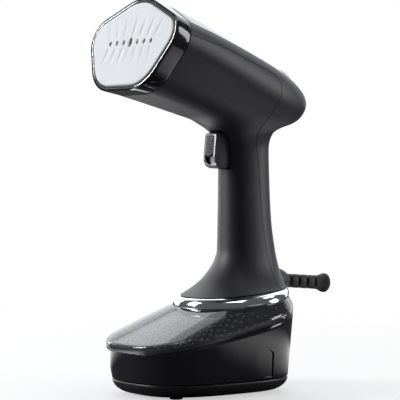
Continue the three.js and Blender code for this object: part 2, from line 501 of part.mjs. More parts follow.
const plugBore = plus(alongX(rod(8.7, 14, 8.7, 24), PLUG.x - 4, PLUG.y, PLUG.z),
  alongX(rod(10.9, 4, 10.9, 24), PLUG.x - 2.7, PLUG.y, PLUG.z));
const duct = hookSlot(10, 11.4, 27, 46, 57.7);
const ductBore = plus(hookSlot(8.4, 13, 40, 47.6, 55.4), hookSlot(8.4, 13, 25.8, 47.6, 70));
const TRAY_SCREWS = [[0, -86], [-33, -6], [33, -6]];
const bosses = TRAY_SCREWS.map(([x, y]) => move(rod(3.6, 6, 3.6, 14), x, y, 12.4));
const bossBores = TRAY_SCREWS.map(([x, y]) => move(rod(1.55, 8, 1.55, 10), x, y, 9));
add('tank_body', minus(plus(body, plugBoss.intersect(tankOuter(0.6, TANK_FOOT.z + GAP, SEAM.z - GAP)), duct, ...bosses),
  grips, plugBore, ductBore, ...bossBores), GLOSS, 0.08);
const plugShape = plus(lathe([[0, 0], [10.4, 0], [10.4, 1.0], [8.3, 1.2], [8.3, 5.6], [7.6, 6.2], [0, 6.2]], 24),
  move(box(7, 1.6, 1.2), 0, 0, -0.5));
add('filler_plug', alongX(plugShape, PLUG.x - 0.2, PLUG.y, PLUG.z), 0x2b2b2e, 0.75);

/** Cover station: 0 on the shoulder, 1 at the chrome ring. */
function coverRing(u, inset, drop) {
  const low = tankRing(SHOULDER.z - drop, SHOULDER.slope, inset);
  const high = neckRing(RING_LOW, inset - 0.7, RING_LOW.z - GAP - drop);
  return low.map((p, i) => p.map((v, k) => v + (high[i][k] - v) * u));
}
const coverOut = loft([tankRing(SEAM.z, SEAM.slope, SEAM.inset), tankRing(SHOULDER.z - 1.0, SHOULDER.slope, 0),
  coverRing(0.04, 0, 0), coverRing(0.35, 0, -0.4), coverRing(0.7, 0, -0.3), coverRing(1, 0, 0)]);
const coverIn = loft([tankRing(SEAM.z - 2, SEAM.slope, SEAM.inset + 2), tankRing(SHOULDER.z - 2.4, SHOULDER.slope, 2),
  coverRing(0.04, 1.6, 2), coverRing(0.35, 1.4, 1.6), coverRing(0.7, 1.2, 1.7), coverRing(1, 1.2, 2)]);
const cup = loft([neckRing(RING_LOW, 3.0, 57.9, 0.09), neckRing(RING_LOW, 1.0, 66.0, 0.09)]);
const cupBore = loft([neckRing(RING_LOW, 4.8, 59.9, 0.09), neckRing(RING_LOW, 3.0, 66.1, 0.09),
  neckRing(RING_LOW, 2.6, 72, 0.09)]);
const coverBody = plus(minus(coverOut, coverIn), cup);
add('tank_cover', minus(coverBody, cupBore, move(rod(8.1, 30), 0, DOCK.y, 45), hookSlot(8.4, 13, 23.9, 50, 64)),
  0x3c3d42, 0.08);
const sealRing = (inset, low, high) => loft([tankRing(SEAM.z + low, SEAM.slope, SEAM.inset + inset),
  tankRing(SEAM.z + high, SEAM.slope, SEAM.inset + inset)]);
const sealBand = sealRing(2.75, -2.4, 2.2).intersect(tankOuter(WALL + 0.35, 13.8, SEAM.z + 3));
add('tank_seal', minus(sealBand, sealRing(5.4, -4, 4), hookSlot(10.6, 11, 40, 40, 70)), 0x55565a, 0.8);
const deckLow = tankRing(SHOULDER.z - 4.4, SHOULDER.slope, 6.2);
const deck = loft([deckLow, neckRing(RING_LOW, 0.9, 62.6)]);
const deckHole = loft([neckRing(RING_LOW, 0.2, 40), neckRing(RING_LOW, 0.2, 80)]);
add('pattern_panel', minus(deck, move(deck, 0, 0, -1.3), deckHole, hookSlot(10.6, 10.8, 40, 30, 70)), 0x2a2c34, 0.3);

const valveProfile = [[2.5, 30], [3.4, 30], [3.4, 36], [9.4, 38.5], [9.4, 55.0], [7.8, 55.0], [7.8, 57.7],
  [6.75, 57.7], [6.75, 48.6], [5.2, 48.6], [5.2, 39.5], [2.5, 39.5], [2.5, 30]];
const atDock = (solid) => move(solid, 0, DOCK.y, 0);
add('valve_body', atDock(lathe(valveProfile, 22)), 0x3b3b3f, 0.5);
add('valve_poppet', atDock(lathe([[0, 41.6], [1.7, 41.6], [1.7, 43.6], [4.7, 43.6], [4.7, 45.2], [2, 45.6],
  [2, 50.2], [0, 50.2]], 16)), CREAM, 0.5);
add('valve_spring', move(spring(3.3, 0.4, 3.6, 3), 0, DOCK.y, 39.75), STEEL, 0.3, 1);
add('pickup_tube', move(pipe(3.0, 1.8, 10.6, 16), 0, DOCK.y, 19.1), 0xe6e2d6, 0.4);
add('pickup_filter', move(minus(rod(6, 4.6, 6, 18), move(rod(4.8, 2.8, 4.8, 18), 0, 0, -0.4)), 0, DOCK.y, 14.2),
  CREAM, 0.6);
const latch = plus(hookSlot(7.9, 20.2, 29.4, 48.1, 54.9), hookSlot(3.5, 20.2, 22.2, 50, 64.6),
  hookSlot(3.5, 22.0, 23.2, 63.2, 64.6));
add('release_button', latch, 0x2e2e32, 0.45);
add('release_spring', alongY(spring(2.4, 0.4, 6.7, 5), 0, 13.25, 51.5), STEEL, 0.3, 1);

// ---------------------------------------------------------------- tray and feet
const trayOuter = loft([footRing(1.6, 9.5), footRing(2.2, 6.8), footRing(4.4, 3.2),
  footRing(8, 0.6), footRing(TANK_FOOT.z - 0.3, 0)]);
const trayInner = loft([footRing(3.6, 9.5), footRing(6.6, 4.2), footRing(TANK_FOOT.z + 2, 2.4)]);
const posts = TRAY_SCREWS.map(([x, y]) => move(rod(4.6, 8, 4.6, 14), x, y, 2.6));
const postBores = TRAY_SCREWS.map(([x, y]) => plus(move(rod(1.7, 20, 1.7, 10), x, y, 0),
  move(rod(3.2, 3.6, 3.2, 14), x, y, 0.9)));
const FEET = [[-26, -78], [26, -78], [-21, 6], [21, 6]];
const footSeats = FEET.map(([x, y]) => move(rod(5.1, 2.6, 5.1, 18), x, y, 0));
add('bottom_tray', minus(plus(minus(trayOuter, trayInner), ...posts), ...postBores, ...footSeats), DARK, 0.6);
TRAY_SCREWS.forEach(([x, y], i) => add(`tray_screw_${i + 1}`, move(screw(13.4, 2.9, 1.4), x, y, 2.4), STEEL, 0.3, 1));
const footNames = ['front_left', 'front_right', 'rear_left', 'rear_right'];
FEET.forEach(([x, y], i) => add(`foot_${footNames[i]}`,
  move(lathe([[0, 0], [4.2, 0], [4.7, 0.5], [4.8, 2.3], [0, 2.3]], 18), x, y, 0), RUBBER, 0.9));

export default group;
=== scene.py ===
"""Looks of a handheld garment steamer that stands on its water tank.

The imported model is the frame: this script dresses its pieces, puts finer shapes over the
ones that show, and sets a pale studio round them. Shapes are worked out in millimetres
about the grip's axis and placed in the row frame, in metres.
"""

from __future__ import annotations

import json
import logging
import math
from dataclasses import dataclass, field
from enum import Enum
from typing import Callable, Sequence

import bmesh
import bpy
import numpy as np
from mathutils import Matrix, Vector
from mathutils.geometry import delaunay_2d_cdt


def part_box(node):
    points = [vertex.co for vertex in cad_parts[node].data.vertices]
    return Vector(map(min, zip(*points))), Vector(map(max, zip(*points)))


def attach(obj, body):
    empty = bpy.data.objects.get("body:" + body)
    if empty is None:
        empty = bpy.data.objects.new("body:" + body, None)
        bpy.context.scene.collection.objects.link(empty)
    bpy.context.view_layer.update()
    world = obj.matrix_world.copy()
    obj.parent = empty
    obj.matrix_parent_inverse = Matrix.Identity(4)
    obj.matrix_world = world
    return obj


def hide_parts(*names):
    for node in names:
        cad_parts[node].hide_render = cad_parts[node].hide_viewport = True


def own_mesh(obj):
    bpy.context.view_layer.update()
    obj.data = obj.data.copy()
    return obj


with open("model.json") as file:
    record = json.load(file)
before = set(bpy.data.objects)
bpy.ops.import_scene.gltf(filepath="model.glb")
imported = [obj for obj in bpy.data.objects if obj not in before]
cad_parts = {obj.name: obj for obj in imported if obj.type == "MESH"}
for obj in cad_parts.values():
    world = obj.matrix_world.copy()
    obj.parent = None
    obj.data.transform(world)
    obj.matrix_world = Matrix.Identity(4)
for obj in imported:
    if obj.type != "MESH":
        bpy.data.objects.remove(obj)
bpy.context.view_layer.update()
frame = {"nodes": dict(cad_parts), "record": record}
log = logging.getLogger("garment_steamer")

SHIFT_Y = 14.78
TILT = math.radians(19.0)
HEAD_Y, HEAD_Z = -99.5, 253.1
Array = np.ndarray


# ------------------------------------------------------------------ numbers
def smooth_rows(table: Array, at: Array) -> Array:
    """Interpolate a station table with a shape-keeping cubic.

    Args:
        table: rows whose first column rises; the rest are values.
        at: places at which the values are wanted.

    Returns:
        One row of values for each place.
    """
    x, v = table[:, 0], table[:, 1:]
    at = np.clip(np.asarray(at, float), x[0], x[-1])
    h = np.diff(x)[:, None]
    d = np.diff(v, axis=0) / h
    m = np.zeros_like(v)
    m[0], m[-1] = d[0], d[-1]
    same = d[:-1] * d[1:] > 0
    w1, w2 = 2 * h[1:] + h[:-1], h[1:] + 2 * h[:-1]
    with np.errstate(divide="ignore", invalid="ignore"):
        mean = (w1 + w2) / (w1 / d[:-1] + w2 / d[1:])
    m[1:-1] = np.where(same, mean, 0.0)
    i = np.clip(np.searchsorted(x, at, side="right") - 1, 0, len(x) - 2)
    t = ((at - x[i]) / (x[i + 1] - x[i]))[:, None]
    hh = h[i]
    return (
        v[i] * (1 + 2 * t) * (1 - t) ** 2
        + m[i] * hh * t * (1 - t) ** 2
        + v[i + 1] * t * t * (3 - 2 * t)
        + m[i + 1] * hh * t * t * (t - 1)
    )


def rounded(corners: Sequence[Sequence[float]], radii: Sequence[float], steps: int) -> Array:
    """Outline with filleted corners.

    Args:
        corners: the sharp corners in order.
        radii: one fillet radius for each corner.
        steps: points along each fillet, less one.

    Returns:
        The points of the outline.
    """
    pts = []
    n = len(corners)
    for i in range(n):
        p = np.array(corners[i], float)
        a = np.array(corners[i - 1], float) - p
        b = np.array(corners[(i + 1) % n], float) - p
        a /= np.linalg.norm(a)
        b /= np.linalg.norm(b)
        half = math.acos(float(np.clip(a @ b, -1, 1))) / 2
        mid = a + b
        centre = p + mid / np.linalg.norm(mid) * radii[i] / math.sin(half)
        start = p + a * radii[i] / math.tan(half) - centre
        stop = p + b * radii[i] / math.tan(half) - centre
        q0, q1 = math.atan2(start[1], start[0]), math.atan2(stop[1], stop[0])
        sweep = (q1 - q0 + math.pi) % (2 * math.pi) - math.pi
        for k in range(steps + 1):
            q = q0 + sweep * k / steps
            pts.append(centre + radii[i] * np.array([math.cos(q), math.sin(q)]))
    return np.array(pts)


def grown(outline: Array, by: float) -> Array:
    """Outline moved outwards along its own normals.

    Args:
        outline: the closed outline.
        by: the distance, negative for inwards.

    Returns:
        The moved outline, with as many points.
    """
    along = np.roll(outline, -1, 0) - np.roll(outline, 1, 0)
    normal = np.stack([along[:, 1], -along[:, 0]], 1)
    normal /= np.linalg.norm(normal, axis=1)[:, None]
    ahead = np.roll(outline, -1, 0)
    area = np.sum(outline[:, 0] * ahead[:, 1] - outline[:, 1] * ahead[:, 0])
    return outline + normal * (by if area > 0 else -by)


def head(x: Array, h: Array, s: Array) -> Array:
    """Points of the tilted head.

    Args:
        x: places across.
        h: places up from its axis.
        s: places back from the steam face.

    Returns:
        The points in three coordinates.
    """
    x, h, s = np.broadcast_arrays(np.asarray(x, float), h, s)
    y = HEAD_Y + h * math.sin(TILT) + s * math.cos(TILT)
    z = HEAD_Z + h * math.cos(TILT) - s * math.sin(TILT)
    return np.stack([x, y, z], -1)


def oval(count: int, b: float, front: float, rear: float, power: float) -> Array:
    """Oval outline whose front and rear halves differ in length.

    Args:
        count: how many points it has.
        b: half of its width.
        front: length of the front half.
        rear: length of the rear half.
        power: 2 for an ellipse, more for a squarer one.

    Returns:
        The points of the outline.
    """
    q = 2 * np.pi * np.arange(count) / count
    c, s = np.cos(q), np.sin(q)
    a = np.where(c < 0, front, rear)
    return np.stack([b * np.sign(s) * np.abs(s) ** (2 / power),
                     a * np.sign(c) * np.abs(c) ** (2 / power)], 1)


def run_across(y: Array, z: Array, x: Array) -> Array:
    """Points of an outline in y and z that runs across."""
    return np.stack([x, y, z], 1)


def run_back(x: Array, z: Array, y: Array) -> Array:
    """Points of an outline in x and z that runs to the rear."""
    return np.stack([x, y, z], 1)


def run_up(x: Array, y: Array, z: Array) -> Array:
    """Points of an outline in x and y that runs upwards."""
    return np.stack([x, y, z], 1)


def along_edge(points: Array, outline: Array) -> Array:
    """Distance from each point to a closed outline.

    Args:
        points: the points, two columns.
        outline: the closed outline.

    Returns:
        One distance for each point.
    """
    a, b = outline, np.roll(outline, -1, 0)
    best = np.full(len(points), 1e9)
    for p0, p1 in zip(a, b):
        e = p1 - p0
        t = np.clip(((points - p0) @ e) / max(float(e @ e), 1e-12), 0, 1)[:, None]
        best = np.minimum(best, np.linalg.norm(points - p0 - t * e, axis=1))
    return best


# ------------------------------------------------------------------ meshes
class Solver(Enum):
    """Ways of cutting one solid with another."""

    CUT = "DIFFERENCE"
    KEEP = "INTERSECT"
    JOIN = "UNION"


class Bench:
    """Makes, cuts and shades the finer meshes."""

    @staticmethod
    def piece(name: str, points: Array, faces: Sequence[Sequence[int]]) -> bpy.types.Object:
        """Object from millimetre points about the grip's axis.

        Args:
            name: the piece's name.
            points: its vertices.
            faces: its faces, as vertex numbers.

        Returns:
            The new object, with faces turned outwards.
        """
        mesh = bpy.data.meshes.new(name)
        world = (np.asarray(points, float) + [0, SHIFT_Y, 0]) / 1000.0
        mesh.from_pydata([tuple(p) for p in world], [], [tuple(int(i) for i in f) for f in faces])
        bm = bmesh.new()
        bm.from_mesh(mesh)
        bmesh.ops.recalc_face_normals(bm, faces=bm.faces)
        if bm.calc_volume(signed=True) < 0:
            bmesh.ops.reverse_faces(bm, faces=bm.faces)
        bm.to_mesh(mesh)
        bm.free()
        made = bpy.data.objects.new(name, mesh)
        bpy.context.scene.collection.objects.link(made)
        return made

    @staticmethod
    def loft(name: str, rings: Sequence[Array], closed: bool = False) -> bpy.types.Object:
        """Solid through rings of equal length.

        Args:
            name: the piece's name.
            rings: the rings in order.
            closed: the last ring joins the first, so the solid has a hole through it.

        Returns:
            The new object.
        """
        n, m = len(rings[0]), len(rings)
        pts = list(np.concatenate(rings))
        faces = []
        for r in range(m if closed else m - 1):
            a, b = r * n, ((r + 1) % m) * n
            faces += [(a + i, a + (i + 1) % n, b + (i + 1) % n, b + i) for i in range(n)]
        if not closed:
            for start in (0, (m - 1) * n):
                pts.append(np.mean(pts[start : start + n], axis=0))
                c = len(pts) - 1
                faces += [(start + i, start + (i + 1) % n, c) for i in range(n)]
        return Bench.piece(name, np.array(pts), faces)

    @staticmethod
    def prism(name: str, outline: Array, low: float, high: float, place: Callable) -> bpy.types.Object:
        """Solid between two copies of an outline.

        Args:
            name: the piece's name.
            outline: a closed outline, two columns.
            low: where the run starts.
            high: where the run ends.
            place: turns outline columns and the run into three coordinates.

        Returns:
            The new object, with many-sided end faces.
        """
        n = len(outline)
        pts = np.concatenate([place(outline[:, 0], outline[:, 1], np.full(n, v)) for v in (low, high)])
        faces = [(i, (i + 1) % n, n + (i + 1) % n, n + i) for i in range(n)]
        faces += [tuple(range(n)), tuple(range(n, 2 * n))]
        return Bench.piece(name, pts, faces)

    @staticmethod
    def settle(target: bpy.types.Object) -> bpy.types.Object:
        """Apply an object's modifiers to its mesh.

        Args:
            target: the object.

        Returns:
            The same object, with no modifiers left.
        """
        graph = bpy.context.evaluated_depsgraph_get()
        mesh = bpy.data.meshes.new_from_object(target.evaluated_get(graph))
        target.modifiers.clear()
        target.data = mesh
        return target

    @staticmethod
    def combine(target: bpy.types.Object, tool: bpy.types.Object, how: Solver) -> None:
        """Cut, keep or join a solid with another.

        Args:
            target: the solid that changes.
            tool: the other solid.
            how: what is done.
        """
        cut = target.modifiers.new("cut", "BOOLEAN")
        cut.operation = how.value
        cut.object = tool
        cut.solver = "MANIFOLD"
        Bench.settle(target)
        if not len(target.data.polygons):
            raise RuntimeError(f"{target.name}: nothing is left after {how.name}")
        bpy.data.objects.remove(tool)

    @staticmethod
    def shade(target: bpy.types.Object, angle: float = 32.0, edge: float = 0.0) -> bpy.types.Object:
        """Smooth shading with sharp edges kept and, if asked, softened.

        Args:
            target: the piece.
            angle: degrees past which an edge stays sharp.
            edge: width of the edge softening, in millimetres.

        Returns:
            The same piece.
        """
        if edge:
            soft = target.modifiers.new("edge", "BEVEL")
            soft.width = edge / 1000.0
            soft.segments = 2
            soft.limit_method = "ANGLE"
            soft.angle_limit = math.radians(38)
            Bench.settle(target)
        mesh = target.data
        mesh.polygons.foreach_set("use_smooth", [True] * len(mesh.polygons))
        mesh.set_sharp_from_angle(angle=math.radians(angle))
        mesh.update()
        return target


# ------------------------------------------------------------------ finishes
class Grain(Enum):
    """What the fine surface of a finish looks like."""

    MOULDED = "moulded"
    POLISHED = "polished"
    GLAZED = "glazed"
    BRUSHED = "brushed"
    CAST = "cast"
    WOUND = "wound"
    CLEAR = "clear"


@dataclass(frozen=True)
class Finish:
    """One finish, by the numbers its maker would set."""

    slot: str
    colour: tuple[float, float, float]
    roughness: float
    grain: Grain = Grain.MOULDED
    metallic: float = 0.0
    scale: float = 900.0
    relief: float = 0.12
    spread: float = 0.18
    coat: float = 0.0
    specular: float = 0.5
    alpha: float = 1.0
    ior: float = 1.5
    variant: str = ""

    def make(self) -> bpy.types.Material:
        """Node material of this finish, made once.

        Returns:
            The material.
        """
        label = f"{self.slot}_finish{self.variant}"
        found = bpy.data.materials.get(label)
        if found:
            return found
        made = bpy.data.materials.new(label)
        made.use_nodes = True
        tree = made.node_tree
        shader = tree.nodes["Principled BSDF"]
        shader.inputs["Metallic"].default_value = self.metallic
        shader.inputs["Specular IOR Level"].default_value = self.specular
        shader.inputs["Coat Weight"].default_value = self.coat
        shader.inputs["Coat Roughness"].default_value = 0.04
        shader.inputs["Alpha"].default_value = self.alpha
        shader.inputs["IOR"].default_value = self.ior
        where = tree.nodes.new("ShaderNodeTexCoord")
        stretch = tree.nodes.new("ShaderNodeMapping")
        stretch.inputs["Scale"].default_value = (1.0, 1.0, 14.0 if self.grain is Grain.BRUSHED else 1.0)
        tree.links.new(where.outputs["Object"], stretch.inputs["Vector"])
        fine = self._fine(tree, stretch)
        broad = tree.nodes.new("ShaderNodeTexNoise")
        broad.inputs["Scale"].default_value = 38.0
        broad.inputs["Detail"].default_value = 5.0
        tree.links.new(where.outputs["Object"], broad.inputs["Vector"])
        ramp = tree.nodes.new("ShaderNodeValToRGB")
        ramp.color_ramp.elements[0].position = 0.3
        ramp.color_ramp.elements[1].position = 0.7
        low, high = 1 - self.spread, 1 + self.spread
        ramp.color_ramp.elements[0].color = (*[min(1, c * low) for c in self.colour], 1)
        ramp.color_ramp.elements[1].color = (*[min(1, c * high) for c in self.colour], 1)
        tree.links.new(broad.outputs["Fac"], ramp.inputs["Fac"])
        tree.links.new(ramp.outputs["Color"], shader.inputs["Base Color"])
        gloss = tree.nodes.new("ShaderNodeMapRange")
        gloss.inputs["From Min"].default_value = 0.3
        gloss.inputs["From Max"].default_value = 0.7
        gloss.inputs["To Min"].default_value = max(0.01, self.roughness * (1 - self.spread))
        gloss.inputs["To Max"].default_value = min(1.0, self.roughness * (1 + self.spread))
        uneven = fine if self.grain is Grain.MOULDED else broad.outputs["Fac"]
        tree.links.new(uneven, gloss.inputs["Value"])
        tree.links.new(gloss.outputs["Result"], shader.inputs["Roughness"])
        bump = tree.nodes.new("ShaderNodeBump")
        bump.inputs["Strength"].default_value = self.relief
        bump.inputs["Distance"].default_value = 0.00025
        tree.links.new(fine, bump.inputs["Height"])
        tree.links.new(bump.outputs["Normal"], shader.inputs["Normal"])
        return made

    def _fine(self, tree: bpy.types.NodeTree, stretch: bpy.types.Node) -> bpy.types.NodeSocket:
        """Nodes of the fine relief.

        Args:
            tree: the material's nodes.
            stretch: the coordinates, stretched along the grain.

        Returns:
            The output that holds the relief.
        """
        if self.grain in (Grain.CAST, Grain.GLAZED):
            cells = tree.nodes.new("ShaderNodeTexVoronoi")
            cells.inputs["Scale"].default_value = self.scale
            tree.links.new(stretch.outputs["Vector"], cells.inputs["Vector"])
            return cells.outputs["Distance"]
        if self.grain is Grain.WOUND:
            turns = tree.nodes.new("ShaderNodeTexWave")
            turns.bands_direction = "Y"
            turns.inputs["Scale"].default_value = self.scale
            turns.inputs["Distortion"].default_value = 0.4
            tree.links.new(stretch.outputs["Vector"], turns.inputs["Vector"])
            return turns.outputs["Fac"]
        noise = tree.nodes.new("ShaderNodeTexNoise")
        noise.inputs["Scale"].default_value = self.scale
        noise.inputs["Detail"].default_value = 4.0
        tree.links.new(stretch.outputs["Vector"], noise.inputs["Vector"])
        return noise.outputs["Fac"]

    def dress(self, *targets: bpy.types.Object) -> None:
        """Give these pieces this finish.

        Args:
            targets: the pieces.
        """
        for target in targets:
            target.data.materials.clear()
            target.data.materials.append(self.make())


CHARCOAL = Finish("charcoal_shell", (0.026, 0.025, 0.031), 0.48, scale=2600, relief=0.08, spread=0.10)
GLOSS = Finish("black_gloss", (0.013, 0.0125, 0.017), 0.09, Grain.POLISHED, scale=60, relief=0.05)
CROWN = Finish("black_gloss", (0.013, 0.0125, 0.017), 0.12, Grain.POLISHED, scale=60, relief=0.05,
               specular=0.22, variant="_crown")
SMOKED = Finish("smoked_clear", (0.055, 0.055, 0.065), 0.015, Grain.CLEAR, scale=30, relief=0.003,
                spread=0.04, alpha=0.45, ior=2.05)
CERAMIC = Finish("ceramic_plate", (0.80, 0.83, 0.86), 0.55, Grain.GLAZED, scale=1400, relief=0.05,
                 spread=0.03, specular=0.35)
SILVER = Finish("trim_silver", (0.86, 0.87, 0.89), 0.10, Grain.POLISHED, 1.0, scale=90, relief=0.03,
                spread=0.04)
AMBER = Finish("amber_lens", (0.78, 0.26, 0.05), 0.16, Grain.POLISHED, scale=120, relief=0.08, coat=0.5)
SATIN = Finish("dark_satin", (0.016, 0.016, 0.018), 0.38, scale=2200, relief=0.14)
RUBBER = Finish("dark_rubber", (0.034, 0.034, 0.036), 0.55, scale=1800, relief=0.3, specular=0.35)
SEAL = Finish("seal_rubber", (0.32, 0.06, 0.04), 0.55, scale=1500, relief=0.2)
ALLOY = Finish("cast_alloy", (0.50, 0.51, 0.53), 0.48, Grain.CAST, 1.0, scale=900, relief=0.5)
HEATER = Finish("heater_metal", (0.34, 0.32, 0.29), 0.42, Grain.BRUSHED, 1.0, scale=500, relief=0.3,
                spread=0.3)
FOIL = Finish("shield_foil", (0.74, 0.75, 0.77), 0.22, Grain.CAST, 1.0, scale=240, relief=0.5)
COPPER = Finish("copper_coil", (0.42, 0.13, 0.06), 0.3, Grain.WOUND, 0.7, scale=420, relief=0.9)
STEEL = Finish("spring_steel", (0.62, 0.63, 0.65), 0.24, Grain.BRUSHED, 1.0, scale=700, relief=0.2)
CREAM = Finish("cream_plastic", (0.74, 0.70, 0.58), 0.42, scale=1500, relief=0.12, spread=0.05)
BOARD = Finish("board_green", (0.03, 0.20, 0.08), 0.35, Grain.CAST, scale=420, relief=0.25)
SILICONE = Finish("silicone_tube", (0.78, 0.76, 0.68), 0.3, scale=900, relief=0.1, spread=0.05)
PANEL = Finish("panel_blue_black", (0.022, 0.023, 0.036), 0.8, scale=800, relief=0.1, specular=0.02)
LED = Finish("led_white", (0.85, 0.78, 0.55), 0.2, Grain.POLISHED, scale=200, relief=0.05)
STUD = Finish("panel_stud", (0.80, 0.86, 1.0), 0.5, Grain.POLISHED, scale=300, relief=0.1, specular=0.3)
# Lighter, part-metallic grey for the trigger's forward-facing faces.
RIM = Finish("trigger_rim", (0.30, 0.30, 0.315), 0.3, scale=1800, relief=0.1, metallic=0.35)
# Near-black finish for the steam chamber: painted shade, so the hollow seen through the plate's holes looks
# dark.
CHAMBER_PAINTED_SHADE = Finish("chamber_painted_shade", (0.035, 0.034, 0.033), 0.6, Grain.CAST, 0.6, scale=900, relief=0.5)
MARK = Finish("level_mark", (0.80, 0.80, 0.80), 0.4, scale=1500, relief=0.05, spread=0.05)
FINISHES = {f.slot: f for f in (CHARCOAL, GLOSS, SMOKED, CERAMIC, SILVER, AMBER, SATIN, RUBBER, SEAL, ALLOY,
                                HEATER, FOIL, COPPER, STEEL, CREAM, BOARD, SILICONE, PANEL, LED)}


# ------------------------------------------------------------------ handset
@dataclass
class HandsetForm:
    """Outer surface of the handset: a tilted barrel melting into an upright grip."""

    barrel: Array = field(default_factory=lambda: np.array([
        [4, 39.4, 59.2, 11.5, 31.6, -35.1, 42, 16.8, 29],
        [15, 39.0, 58.2, 11.8, 31.0, -34.4, 42, 17, 29], [45, 37.8, 55.2, 12.8, 29.0, -32.2, 40, 18, 27],
        [75, 35.6, 50.5, 13.3, 27.0, -30.4, 38, 20, 25], [100, 33.6, 46.0, 12.8, 25.5, -28.2, 36, 21, 23],
        [118, 32.0, 42.0, 11.5, 24.5, -24.4, 34, 20, 21],
        [132, 30.0, 37.5, 10.0, 22.5, -18.6, 30, 18.5, 16],
        [143, 27.2, 31.5, 8.5, 19.5, -12.6, 25, 15.5, 12.3],
        [151, 23.2, 24.5, 7.5, 14.5, -6.6, 19.5, 11, 8],
        [156.5, 18.0, 16.5, 7.0, 9, -0.8, 12, 7, 4.2], [159.3, 12.0, 7.5, 6.5, 4, 3.2, 5.0, 2.6, 1.6]]))
    grip: Array = field(default_factory=lambda: np.array([
        [66, -70, 34, 48, 0.085],
        [72.9, -47.9, 32.1, 35.6, 0.085], [74.5, -43.5, 31.8, 33, 0.075], [78, -36.5, 31.0, 29.5, 0.06],
        [82.3, -30.2, 30.3, 26, 0.045], [86, -26.6, 29.5, 23.6, 0.03], [91, -22.7, 28.6, 21.2, 0.02],
        [96, -20, 27.6, 19.6, 0.01], [102.8, -18.2, 26.4, 18.3, 0], [125.8, -17.9, 23.1, 17, 0],
        [155, -17.8, 21.7, 16.1, 0], [172, -17.9, 21.2, 16.0, 0], [179, -18.4, 21.1, 16.4, 0],
        [184, -20, 21.8, 17.6, 0], [189, -24.0, 24.2, 19.6, 0], [193, -29, 28.6, 22.2, 0],
        [197, -35.0, 33.0, 25, 0], [202, -39, 35.0, 27, 0], [210, -40, 36, 27.5, 0]]))
    power: float = 2.25
    melt: float = 5.0
    rear: float = 159.3
    nose: float = 1.7
    top: float = 212.0
    spokes: int = 288

    def __post_init__(self) -> None:
        """Work out the barrel's radius for every place along and round it."""
        self.s_grid = np.concatenate([np.arange(4.0, 140.0, 1.0), np.arange(140.0, self.rear + 1e-6, 0.25),
                                      [self.rear]])
        rows = smooth_rows(self.barrel, self.s_grid)
        self.centre = 0.5 * (rows[:, 0] + rows[:, 4])
        self.q_grid = 2 * np.pi * np.arange(self.spokes) / self.spokes - np.pi
        table = []
        for row, mid in zip(rows, self.centre):
            line = self.outline_of(row, 14)
            rel = line - [0, mid]
            q = np.arctan2(rel[:, 1], rel[:, 0])
            order = np.argsort(q)
            dense = self._walk(rel[order])
            qd = np.arctan2(dense[:, 1], dense[:, 0])
            order = np.argsort(qd)
            table.append(np.interp(self.q_grid, qd[order], np.hypot(dense[:, 0], dense[:, 1])[order],
                                   period=2 * np.pi))
        self.table = np.array(table)

    @staticmethod
    def _walk(loop: Array) -> Array:
        """The loop with extra points along its straight runs."""
        nxt = np.roll(loop, -1, 0)
        return np.concatenate([loop + (nxt - loop) * t for t in np.linspace(0, 1, 12, endpoint=False)])

    @staticmethod
    def outline_of(row: Array, steps: int) -> Array:
        """Section of the barrel from one row of its table.

        Args:
            row: the row, without its place along the barrel.
            steps: points along each fillet, less one.

        Returns:
            The section, across and up.
        """
        top, cx, ch, fx, fh, r0, r1, r3 = row
        corners = [(0, top), (cx, ch), (fx, fh), (-fx, fh), (-cx, ch)]
        return rounded(corners, [r0, r1, r3, r3, r1], steps)

    def section(self, s: float, steps: int = 14) -> Array:
        """Section of the barrel at one place along it."""
        return self.outline_of(smooth_rows(self.barrel, np.array([s]))[0], steps)

    def roof(self, x: Array, s: Array) -> Array:
        """Height of the barrel's top above the head's axis.

        Args:
            x: places across.
            s: places along, of the same length.

        Returns:
            One height for each pair.
        """
        out = np.empty(len(x))
        for value in np.unique(np.round(s, 4)):
            pick = np.abs(s - value) < 6e-5
            line = self.section(float(value), 20)
            upper = line[line[:, 1] > smooth_rows(self.barrel, np.array([value]))[0][2] - 6.0]
            order = np.argsort(upper[:, 0])
            out[pick] = np.interp(x[pick], upper[order, 0], upper[order, 1])
        return out

    def from_barrel(self, p: Array) -> Array:
        """How far points lie outside the barrel, roughly.

        Args:
            p: the points.

        Returns:
            One distance for each point, negative for inside.
        """
        dy, dz = p[:, 1] - HEAD_Y, p[:, 2] - HEAD_Z
        h = dy * math.sin(TILT) + dz * math.cos(TILT)
        s = dy * math.cos(TILT) - dz * math.sin(TILT)
        sc = np.clip(s, self.s_grid[0], self.rear)
        mid = np.interp(sc, self.s_grid, self.centre)
        rho = np.hypot(p[:, 0], h - mid)
        q = (np.arctan2(h - mid, p[:, 0]) + np.pi) / (2 * np.pi) * self.spokes
        i = np.clip(np.searchsorted(self.s_grid, sc, side="right") - 1, 0, len(self.s_grid) - 2)
        t = np.clip((sc - self.s_grid[i]) / np.maximum(self.s_grid[i + 1] - self.s_grid[i], 1e-6), 0, 1)
        j = np.floor(q).astype(int)
        u = q - j
        j0, j1 = j % self.spokes, (j + 1) % self.spokes
        r = ((1 - t) * ((1 - u) * self.table[i, j0] + u * self.table[i, j1])
             + t * ((1 - u) * self.table[i + 1, j0] + u * self.table[i + 1, j1]))
        past = np.clip((s - self.rear) / self.nose, 0, 0.999)
        return rho - r * np.sqrt(1 - past**2) + np.maximum(s - self.rear - self.nose, 0) * 4

